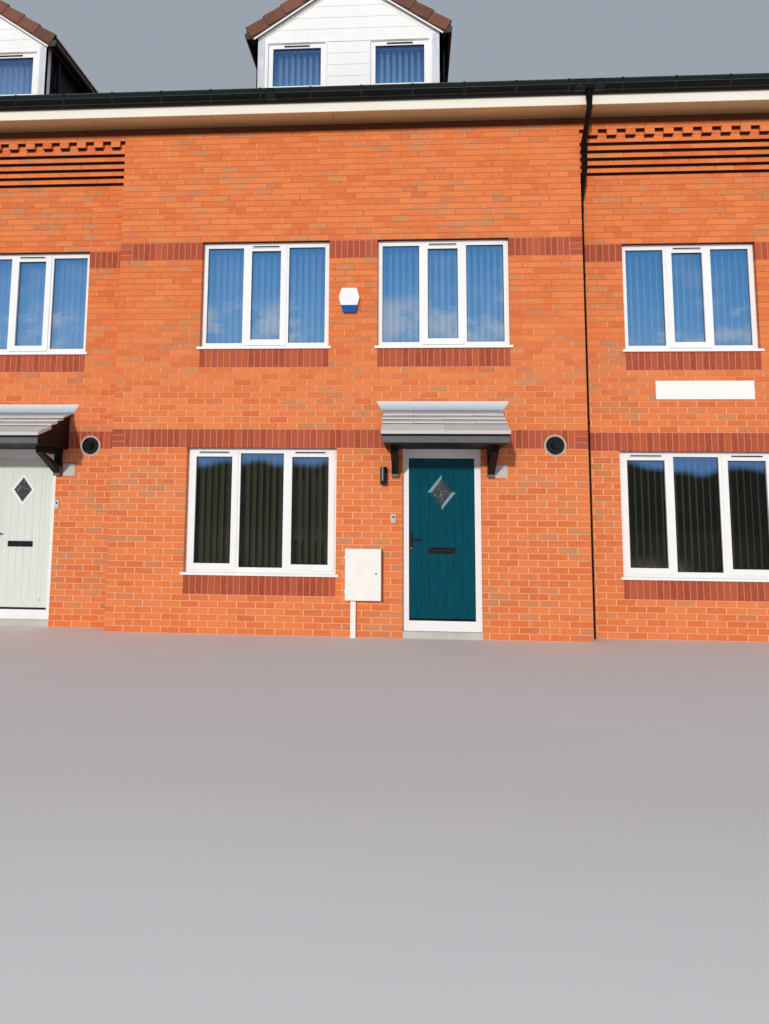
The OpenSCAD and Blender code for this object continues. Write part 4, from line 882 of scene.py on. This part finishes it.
def joined(name, parts, finish, body="row"):
    """One piece of several forms of corners and faces."""
    corners, faces = [], []
    for part_corners, part_faces in parts:
        faces += [tuple(k + len(corners) for k in face) for face in part_faces]
        corners += part_corners
    return piece(name, corners, faces, finish, body)


side_rim, side_gutter_x, pipe_y, clip_t = dormer_eaves - 0.065, 1.302, -3.60, 0.018
stop_ends, cheek_pipes, cheek_clips = [], [], []
for d in dormers:
    for side in (-1, 1):
        ring = [(-0.030, -0.083), (0.030, -0.083), (0.043, 0.002), (-0.043, 0.002)]
        stop_ends.append(([(d + side * side_gutter_x + u, y, side_rim + w)
                           for y in (dormer_verge + 0.002, dormer_verge - 0.005)
                           for u, w in ring], even_tone))
    x = d + dormer_side + 0.040
    cheek_pipes += [upright_tube(x, pipe_y, 7.00, side_rim - 0.078, 0.025),
                    upright_tube(x, pipe_y, 7.30, 7.38, 0.030)]
    for z in (7.08, 7.42):
        cheek_pipes.append(upright_tube(x, pipe_y, z, z + clip_t, 0.031))
        cheek_clips.append(slab_box(d + dormer_side - 0.002, x, pipe_y - 0.010, pipe_y + 0.010,
                                    z, z + clip_t))
slabs("dormer_gutter_stop_ends", stop_ends, bead_grey)
slabs("dormer_pipe_clips", cheek_clips, black_plastic)
joined("dormer_pipes", cheek_pipes, black_plastic)

# ---- Windows ----
# White plastic casement frames with dark gaskets and a slot vent in the head of the opening
# lights. Upstairs the double glazing carries a painted reflection of a blue sky with low cloud;
# below it is painted dark for the dim rooms behind, with painted sky along the top.
frame_white = Finish("white_window_plastic", rough=0.3)
cloudy = frame_white.noise(5.0, 3.0)
moulded = frame_white.between(cloudy, (244, 245, 244), (250, 250, 250))
# Undersides of frames, sills and doors take painted shade
frame_white.set(Base_Color=frame_white.mix(frame_white.underside() * 0.8, moulded,
                                           srgb(50, 42, 38)))
frame_white.bump(cloudy, 0.0005, 0.1)
dress(frame_white, "ground_window_frames", "upper_window_frames", "dormer_window_frames",
      "rear_window_frames", "window_sills", "door_frames", "rear_doors")
glass = Finish("sealed_glass", rough=0.04)
upstairs = glass.z.ease(2.6, 3.0)
puff = glass.noise(1.9, 6.0, 0.58, (0.8, 1.0, 1.5))
low_cloud = (1.0 - abs(glass.z - 3.72).ease(0.10, 0.42)) * puff.ease(0.46, 0.62)
high_haze = puff.ease(0.5, 0.75) * 0.3
# Painted reflection of the sky in the glass, paler low down, with low cloud and haze
above = glass.ramp((glass.z - 3.4) / 1.4, (0.0, srgb(122, 181, 234)), (0.35, srgb(104, 172, 233)),
                   (1.0, srgb(78, 150, 218)))
above = glass.mix(low_cloud * 0.55 + high_haze * 0.6, above, srgb(206, 218, 232))
attic = glass.z.ease(5.5, 6.0)
attic_painted_sky = glass.ramp((glass.z - 6.85) / 0.64, (0.0, srgb(106, 168, 230)),
                        (1.0, srgb(44, 92, 162)))
above = glass.mix(attic, above, attic_painted_sky)
# Downstairs the glass is painted dark for the dim rooms, with a painted sky reflection along the
# top of each window
gloom = glass.ramp(glass.noise(3.0, 5.0, 0.65), (0.35, srgb(4, 6, 3)), (0.65, srgb(20, 24, 13)))
reflected = (glass.z + glass.noise(1.1, 2.0, 0.5, (1.0, 1.0, 0.4)) * 0.5).ease(2.18, 2.30)
below = glass.mix(reflected, gloom, srgb(98, 150, 212))
at_rear = (glass.y > 0.0) * 0.35
glass.set(Base_Color=glass.mix(upstairs, below, above),
          Alpha=0.37 + upstairs * 0.05 - attic * 0.1 + at_rear)
glass.bump(glass.noise(2.0, 1.0), 0.0008, 0.3)
dress(glass, "front_glass", "rear_glass")
gasket = mottled("black_gasket", 0.6, (20, 20, 20), (40, 39, 36), 30.0)
seal_grey = mottled("grey_sash_seal", 0.6, (96, 98, 100), (124, 126, 128), 30.0)

bar, sash, frame_set, sash_out, sill_h = 0.060, 0.042, 0.080, 0.012, 0.030
seal_w, seal_sunk, seal_proud = 0.006, 0.002, 0.0015
gasket_w, glass_set, gasket_near, gasket_far = 0.005, 0.030, 0.001, 0.005
ground_vent, upper_vent, dormer_vent = 0.18, 0.165, 0.166
hood_over, hood_out, hood_top, hood_foot = 0.010, 0.012, 0.036, 0.064
slot_in, slot_out, slot_top, slot_foot = 0.010, 0.0145, 0.043, 0.058
gaskets, seals, vents, vent_slots = [], [], [], []


def strips(a, b, low, high, width, y0, y1):
    """Four strips that frame an upright field."""
    return [slab_box(u0, u1, y0, y1, w0, w1) for u0, u1, w0, w1 in (
        (a, a + width, low, high), (b - width, b, low, high),
        (a, b, low, low + width), (a, b, high - width, high))]


def window_lights(x, face, z0, w, h, lights, opening, side, set_back=frame_set):
    """Gasket lines round the glass and seals round the sashes of side-by-side lights."""
    light = (w - (lights + 1) * bar) / lights
    for k in range(lights):
        rim = sash if k in opening else 0.0
        a = x - w / 2 + bar + k * (light + bar) + rim
        b = a + light - 2 * rim
        low, high = z0 + bar + rim, z0 + h - bar - rim
        if rim:
            edge = rim + seal_w
            seals.extend(strips(a - edge, b + edge, low - edge, high + edge, seal_w,
                                face - side * (set_back + seal_sunk),
                                face - side * (set_back - seal_proud)))
        y = face - side * (set_back + glass_set)
        gaskets.extend(strips(a, b, low, high, gasket_w, y + side * gasket_near,
                              y + side * gasket_far))


def slot_vent(x, half, top, y, side):
    """A hooded slot along the top of a sash."""
    vents.append(slab_box(x - half - hood_over, x + half + hood_over, y, y + side * hood_out,
                          top - hood_foot, top - hood_top))
    vent_slots.append(slab_box(x - half, x + half, y + side * slot_in, y + side * slot_out,
                               top - slot_foot, top - slot_top))


light = (window_w - 4 * bar) / 3
for house in houses:
    x1, x2 = window_1[house], window_2[house]
    for face, side in ((face_of[house], -1), (rear_face, 1)):
        y = face - side * (frame_set - sash_out)
        window_lights(x1, face, sill_z + sill_h, window_w, head_z - sill_z - sill_h, 3, (0, 2),
                      side)
        for k in (-1, 1):
            slot_vent(x1 + k * (light + bar), ground_vent, head_z, y, side)
        for x in (x1, x2):
            window_lights(x, face, upper_sill_z + sill_h, upper_w,
                          upper_head_z - upper_sill_z - sill_h, 3, (1,), side)
            slot_vent(x, upper_vent, upper_head_z, y, side)
for d in dormers:
    for x in (d - pane_x, d + pane_x):
        window_lights(x, dormer_face, pane_foot, pane_w, pane_top - pane_foot, 1, (), -1, 0.025)
        vent_slots.append(slab_box(x - dormer_vent, x + dormer_vent, dormer_face + 0.012,
                                   dormer_face + 0.027, pane_top - 0.042, pane_top - 0.026))
slabs("window_gaskets", gaskets, gasket)
slabs("sash_seals", seals, seal_grey)
slabs("vent_hoods", vents, frame_white)
slabs("vent_slots", vent_slots, gasket)

# ---- Blinds ----
# Vertical blinds behind the front windows and the dormers: curved fabric vanes that hang turned
# from a head rail.
vane_cloth = Finish("blind_cloth", rough=0.85)
weave = vane_cloth.noise(400.0, 2.0, 0.5, (1.0, 1.0, 0.2))
downstairs = 1.0 - vane_cloth.z.ease(2.5, 3.0)
woven = vane_cloth.between(weave, (216, 222, 228), (240, 244, 247))
vane_cloth.set(Base_Color=vane_cloth.mix(downstairs, woven, srgb(172, 172, 130)))
vane_cloth.bump(weave, 0.0004, 0.4)
vane_w, vane_pitch, vane_turn, vane_bow, vane_parts = 0.089, 0.080, math.radians(62.0), 0.008, 6
rail_h, rail_half, hem, set_behind = 0.04, 0.02, 0.04, 0.24
hung = [(d + side * pane_x, pane_w - 0.12, pane_foot + 0.02, pane_top - 0.01, dormer_face + 0.18)
        for d in dormers for side in (-1, 1)]
for house in houses:
    y = face_of[house] + set_behind
    hung += [(window_1[house], window_w - 0.03, sill_z + hem, head_z, y),
             (window_1[house], upper_w - 0.03, upper_sill_z + hem, upper_head_z, y),
             (window_2[house], upper_w - 0.03, upper_sill_z + hem, upper_head_z, y)]
corners, faces, rails = [], [], []
for x, w, low, high, y in hung:
    rails.append(slab_box(x - w / 2, x + w / 2, y - rail_half, y + rail_half, high - rail_h,
                          high - 0.0005))
    count = int((w - vane_w) / vane_pitch)
    for k in range(count + 1):
        centre = x + (k - count / 2) * vane_pitch
        turn = vane_turn + draw.uniform(-0.05, 0.05)
        for m in range(vane_parts + 1):
            s = m / vane_parts - 0.5
            bow = vane_bow * (1 - 4 * s * s)
            px = centre + s * vane_w * math.cos(turn) - bow * math.sin(turn)
            py = y + s * vane_w * math.sin(turn) + bow * math.cos(turn)
            corners += [(px, py, low), (px, py, high - rail_h)]
            if m:
                n = len(corners)
                faces.append((n - 4, n - 2, n - 1, n - 3))
vanes = piece("blind_vanes", corners, faces, vane_cloth, smooth=True)
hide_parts("blinds")
slabs("blind_rails", rails, frame_white)

# ---- Doors ----
# Composite front doors with a boarded field inside a raised bead, a lozenge light in a moulded
# trim, letter plate and lever in black. The middle door is teal, the outer doors are pale green.
teal = Finish("teal_door_skin", rough=0.35, Specular_IOR_Level=0.15)
sheen = teal.noise(30.0, 3.0, 0.5, (1.0, 1.0, 0.1))
groove_pitch, groove_w = 0.096, 0.006
from_middle = teal.x - door_at["middle"]
in_field = (abs(from_middle) < 0.28) * (teal.z > 0.302) * (teal.z < 1.953)
in_groove = (abs((from_middle % groove_pitch) - groove_pitch / 2) < groove_w / 2) * in_field
# The grooves are painted darker as shade in them
teal.set(Base_Color=teal.mix(in_groove * 0.55, teal.between(sheen, (0, 68, 84), (2, 78, 93)),
                             srgb(0, 40, 52)))
teal.bump(sheen, 0.0006, 0.4)
dress(teal, "centre_door", "centre_door_rail")
pale = mottled("pale_door_skin", 0.4, (220, 229, 220), (225, 234, 225), 30.0, 3.0, 0.5,
               (1.0, 1.0, 0.1), bump=(0.0006, 0.4))
dress(pale, "left_door", "right_door")
black_metal = mottled("black_metal", 0.28, (16, 17, 18), (30, 31, 34), 150.0, 3.0,
                      bump=(0.0003, 0.3), Metallic=0.1)
dress(black_metal, "left_door_furniture", "centre_door_furniture", "centre_door_lever",
      "left_letter_flap", "centre_letter_flap", "flue_terminals")
bright_metal = mottled("bright_metal", 0.3, (190, 190, 188), (220, 220, 218), 200.0,
                       Metallic=0.8)
door_glass = Finish("obscure_door_glass", rough=0.12)
ripple = door_glass.noise(60.0, 3.0)
leaf_line = abs(door_glass.noise(9.0, 2.0) - 0.5) < 0.008
rippled = door_glass.between(ripple, (44, 48, 50), (76, 82, 84))
door_glass.set(Base_Color=door_glass.mix(leaf_line * 0.4, rippled, srgb(180, 190, 194)))
door_glass.bump(ripple, 0.002, 0.6)
dress(door_glass, "left_door_glass", "centre_door_glass")
light_z = 1.665
trim_teal = Finish("moulded_teal_trim", rough=0.3, Specular_IOR_Level=0.3)
# Painted highlight on the trim's upper-left and lower-right edges
highlit_edges = ((trim_teal.x - door_at["middle"]) * (trim_teal.z - light_z)) < 0.0
dull_edge = trim_teal.between(trim_teal.noise(30.0), (6, 64, 78), (16, 80, 94))
trim_teal.set(Base_Color=trim_teal.mix(highlit_edges, dull_edge, srgb(126, 160, 168)))
trim_white = mottled("moulded_white_trim", 0.4, (240, 242, 240), (248, 249, 248), 30.0)


def turned(x, y, z, profile, sides, closed=True):
    """A form turned about a line that stands off the wall, from (radius, stand) pairs."""
    corners, faces = [], []
    for radius, stand in profile:
        for k in range(sides):
            angle = 2 * math.pi * k / sides
            corners.append((x + radius * math.cos(angle), y - stand,
                            z + radius * math.sin(angle)))
    for ring in range(0, (len(profile) - 1) * sides, sides):
        for k in range(sides):
            m = (k + 1) % sides
            faces.append((ring + k, ring + m, ring + sides + m, ring + sides + k))
    if closed:
        faces.append(tuple(range(len(corners) - sides, len(corners))))
    return corners, faces


leaf_set, leaf_foot = 0.105, 0.182
bead_half, bead_low, bead_high, bead_w = 0.292, 0.300, 1.960, 0.012
bead_proud, bead_sunk = 0.003, 0.002
trim_outer, trim_inner = (0.165, 0.205), (0.1175, 0.155)
trim_under, trim_over = (0.0, -0.008), (0.005, 0.012)
bar_half, bar_low, bar_back = 0.388, leaf_foot + 0.002, 0.002
for house, leaf_finish, trim, leaf_slot, leaf_body in (
        ("left", pale, trim_white, "pale_door", "left_door_body"),
        ("middle", teal, trim_teal, "teal_door", "centre_door_body"),
        ("right", pale, trim_white, "pale_door", "row")):
    x, y = door_at[house], face_of[house] + leaf_set
    slabs(f"{house}_door_bead", strips(x - bead_half, x + bead_half, bead_low, bead_high, bead_w,
                                       y - bead_proud, y + bead_sunk),
          leaf_finish, leaf_body)
    outer, inner = ([(half_w, 0), (0, half_h), (-half_w, 0), (0, -half_h)]
                    for half_w, half_h in (trim_outer, trim_inner))
    lozenge = []
    for k in range(4):
        m = (k + 1) % 4
        corners = []
        for out_stand, in_stand in (trim_under, trim_over):
            corners += [(x + u, y - stand, light_z + w) for (u, w), stand in (
                (outer[k], out_stand), (outer[m], out_stand),
                (inner[m], in_stand), (inner[k], in_stand))]
        lozenge.append((corners, even_tone))
    slabs(f"{house}_door_light_trim", lozenge, trim, leaf_body)
    weather_bar = []
    for front, rise_front, rise_back in ((0.014, 0.0, 0.0), (0.011, 0.020, 0.032)):
        weather_bar += [(x - bar_half, y - front, bar_low + rise_front),
                        (x + bar_half, y - front, bar_low + rise_front),
                        (x + bar_half, y + bar_back, bar_low + rise_back),
                        (x - bar_half, y + bar_back, bar_low + rise_back)]
    slabs(f"{house}_door_weather_bar", [(weather_bar, even_tone)], black_metal,
          leaf_body)
lock_x, lock_z = door_at["middle"] - 0.355, 1.012
joined("centre_door_cylinder", [turned(lock_x, middle_front + leaf_set - 0.009, lock_z,
                                       ((0.0095, 0.0), (0.0095, 0.003), (0.0075, 0.0042)), 16)],
       bright_metal, "centre_door_body")

# ---- Canopies ----
# Timber brackets carry a boarded soffit and a roof of four rows of flat grey tiles, whose lower
# edges lap over one another, with a lead flashing dressed down over the top row.
canopy_tile = Finish("grey_canopy_tile", rough=0.85)
lichen = canopy_tile.noise(7.0, 6.0, 0.65)
speck = canopy_tile.noise(240.0, 3.0)
upper_face = canopy_tile.between(speck * 0.6 + canopy_tile.tone() * 0.4,
                                 (212, 214, 214), (230, 232, 232))
upper_face = canopy_tile.mix(lichen.ease(0.5, 0.75) * 0.5, upper_face, srgb(238, 240, 240))
tile_grey = canopy_tile.mix(canopy_tile.facing(1) < -0.8, upper_face, srgb(208, 206, 202))
# Painted shadow of the lead flashing on the top row of tiles
lead_shadow = canopy_tile.z > 2.585
canopy_tile.set(Base_Color=canopy_tile.mix(lead_shadow * 0.85, tile_grey, srgb(70, 74, 80)))
canopy_tile.bump(speck * 0.6 + lichen * 0.4, 0.0015, 0.6)
tile_back = mottled("shaded_tile_underside", 0.85, (26, 18, 17), (46, 33, 31), 60.0,
                    Specular_IOR_Level=0.2)
dress(tile_back, "canopy_roofs")
lead = Finish("dressed_lead", rough=0.45, Metallic=0.1)
patina = lead.noise(5.0, 5.0, 0.6, (1.0, 1.0, 0.4))
# Painted shade along the fold in the lead
crease_shade = 1.0 - abs(lead.z - 2.618).ease(0.004, 0.022)
lead_colour = lead.mix(lead.z.ease(2.62, 2.73), srgb(178, 186, 196), srgb(228, 231, 234))
lead_colour = lead.mix(patina.ease(0.4, 0.7) * 0.45, lead_colour, srgb(206, 211, 217))
lead.set(Base_Color=lead.mix(crease_shade * 0.7, lead_colour, srgb(104, 114, 132)))
lead.bump(patina, 0.004, 0.5)
dress(lead, "canopy_flashings")
# Near black: painted shade under the canopy on its brackets, cheeks and soffit
shaded_timber = mottled("dark_canopy_timber", 0.6, (10, 10, 11), (22, 21, 22), 14.0, 5.0, 0.6,
                      (1.0, 6.0, 6.0), bump=(0.0015, 0.5), Specular_IOR_Level=0.2)
dress(shaded_timber, "canopy_frames")
grey_board = mottled("weathered_grey_board", 0.6, (88, 91, 93), (112, 114, 114), 14.0, 5.0, 0.6,
                     (0.6, 6.0, 8.0), bump=(0.001, 0.4))

canopy_at = {"left": -4.170, "middle": 1.152, "right": 6.290}
canopy_half, canopy_reach, row_ends = 0.690, 1.0, (0.0, -0.27, -0.45, -0.63, -1.0)
canopy_slope, canopy_low = 0.3443, 2.245
foot_rise, head_rise, slab_t, eaves_t, slab_lip = 0.059, 0.0315, 0.018, 0.038, 0.006
bracket_x, board_half, board_reach, board_t = 0.555, 0.677, 0.985, 0.007
board_foot, board_head = canopy_low - 0.073, canopy_low - 0.003
foot_half, foot_out, foot_low, foot_high, screw_z = 0.041, 0.079, 1.838, 1.950, 1.895
canopy_slabs, face_boards, feet, screws = [], [], [], []
for house in houses:
    c, face = canopy_at[house], face_of[house]
    for row, (high_y, lower) in enumerate(zip(row_ends[:-1], row_ends[1:])):
        cuts = (0.0,) if row % 2 else (-0.344, 0.344)
        low_y, down = lower - slab_lip, eaves_t if lower == -canopy_reach else slab_t
        low_z = canopy_low + (low_y + canopy_reach) * canopy_slope + foot_rise
        high_z = canopy_low + (high_y + canopy_reach) * canopy_slope + head_rise
        for a, b in zip((-canopy_half, *cuts), (*cuts, canopy_half)):
            a += tile_gap / 2 if a in cuts else 0.0
            b -= tile_gap / 2 if b in cuts else 0.0
            sag = draw.uniform(-0.0015, 0.0015)
            canopy_slabs.append(tile(
                [(c + a, face + low_y, low_z + sag), (c + b, face + low_y, low_z - sag)],
                [(c + b, face + high_y, high_z), (c + a, face + high_y, high_z)],
                (-down, -down), (0.0, 0.0)))
    face_boards.append(slab_box(c - board_half, c + board_half, face - board_reach,
                                face - board_reach + board_t, board_foot, board_head))
    for x in (c - bracket_x, c + bracket_x):
        feet.append(slab_box(x - foot_half, x + foot_half, face - foot_out, face - 0.001,
                             foot_low, foot_high))
        screws.append(turned(x, face - foot_out, screw_z,
                             ((0.011, 0.0), (0.011, 0.0015), (0.006, 0.0035)), 12))
slabs("canopy_slabs", canopy_slabs, canopy_tile)
slabs("canopy_face_boards", face_boards, grey_board)
slabs("canopy_bracket_feet", feet, grey_board)
joined("canopy_screws", screws, bright_metal)

# ---- Wall fittings ----
# Meter box with its door, alarm box with a blue lens, doorbells, bare name and number plates, a
# gloss black light beside the middle door, and flue ends in black collars bedded in mortar.
fitting_white = mottled("white_fitting_plastic", 0.45, (246, 243, 236), (252, 250, 245),
                        8.0, 4.0, bump=(0.0006, 0.2))
dress(fitting_white, "meter_box", "meter_box_door")
bell_case = mottled("grey_bell_case", 0.4, (196, 190, 184), (210, 205, 200), 40.0)
dress(bell_case, "doorbells")
plate_finish = Finish("bare_plate", rough=0.4)
brushed = plate_finish.noise(60.0, 3.0, 0.5, (0.1, 1.0, 1.0))
number_plate = plate_finish.between(brushed, (190, 184, 178), (206, 200, 195))
plate_finish.set(Base_Color=plate_finish.mix(plate_finish.z > 2.2, number_plate,
                                             srgb(248, 248, 246)))
dress(plate_finish, "wall_plates")
lamp = Finish("gloss_black_lamp", rough=0.15)
# Painted highlight down the lamp's left front
gleam = (abs(lamp.facing(0) + 0.30) < 0.22) * (lamp.z > 1.79) * (lamp.facing(1) < -0.5)
gloss = lamp.between(lamp.noise(60.0), (8, 8, 9), (18, 19, 20))
lamp.set(Base_Color=lamp.mix(gleam * 0.75, gloss, srgb(150, 168, 164)))
dress(lamp, "wall_light")
shield = Finish("alarm_shield", rough=0.3)
cover_white = shield.between(shield.noise(9.0, 3.0), (240, 242, 242), (250, 250, 250))
shield.set(Base_Color=shield.mix(shield.z < 3.8965, cover_white, srgb(18, 84, 168)))
dress(shield, "alarm_box")
ring_bed = mottled("flue_ring_mortar", 0.9, (176, 158, 146), (208, 192, 178), 150.0, 4.0,
                   bump=(0.001, 0.4))

flue_z, flue_at = 2.215, ((2.455, middle_front), (-3.223, outer_front))
collar = ((0.106, 0.002), (0.106, 0.012), (0.100, 0.020), (0.088, 0.026), (0.070, 0.030),
          (0.0535, 0.032))
ring = ((0.130, 0.0), (0.129, 0.0050), (0.090, 0.0060))
joined("flue_collars", [turned(x, face, flue_z, collar, 36, closed=False) for x, face in flue_at],
       black_metal)
joined("flue_mortar_rings", [turned(x, face, flue_z, ring, 36) for x, face in flue_at],
       ring_bed)
bell_out, bell_at = 0.024, ((0.575, middle_front, 1.374), (-3.612, outer_front, 1.502))
button = ((0.012, -0.001), (0.012, 0.001), (0.009, 0.003))
joined("doorbell_buttons", [turned(x, face - bell_out, z, button, 16) for x, face, z in bell_at],
       gasket)
joined("meter_door_lock", [turned(0.381, -4.370, 0.7286,
                                  ((0.010, 0.0), (0.010, 0.002), (0.007, 0.003)), 16)],
       gasket, "meter_door_body")

# ---- Floor and light ----
# Plain pale studio floor, one warm key light low behind the camera, a cool even sky and a weak
# light from behind for the rear walls.
floor_half = 60
floor_finish = Finish("studio_floor", rough=0.9)
floor_finish.set(Base_Color=floor_finish.ramp(floor_finish.noise(0.3, 2.0),
                                              (0.3, (0.86, 0.85, 0.84)),
                                              (0.7, (0.88, 0.87, 0.86))))
mesh = bpy.data.meshes.new("studio_floor")
mesh.from_pydata([(-floor_half, -floor_half, 0), (floor_half, -floor_half, 0),
                  (floor_half, floor_half, 0), (-floor_half, floor_half, 0)], [], [(0, 1, 2, 3)])
mesh.materials.append(floor_finish.material)
floor = bpy.data.objects.new("studio_floor", mesh)
bpy.context.scene.collection.objects.link(floor)

for name, heading, energy, spread, colour in (
        ("key", (0.17, 1.0, -0.21), 2.15, 2.0, (1.0, 0.96, 0.90)),
        ("back_fill", (-0.45, -1.0, -0.85), 1.3, 25.0, (1.0, 0.98, 0.96))):
    sun_data = bpy.data.lights.new(name, "SUN")
    sun_data.energy = energy
    sun_data.angle = math.radians(spread)
    sun_data.color = colour
    sun = bpy.data.objects.new(name, sun_data)
    sun.rotation_euler = Vector(heading).to_track_quat("-Z", "Y").to_euler()
    sun.visible_glossy = False
    bpy.context.scene.collection.objects.link(sun)
world = bpy.data.worlds.new("sky")
world.use_nodes = True
background = world.node_tree.nodes["Background"]
background.inputs["Color"].default_value = (0.78, 0.87, 1.0, 1.0)
background.inputs["Strength"].default_value = 0.42
bpy.context.scene.world = world
bpy.context.scene.view_settings.view_transform = "Standard"
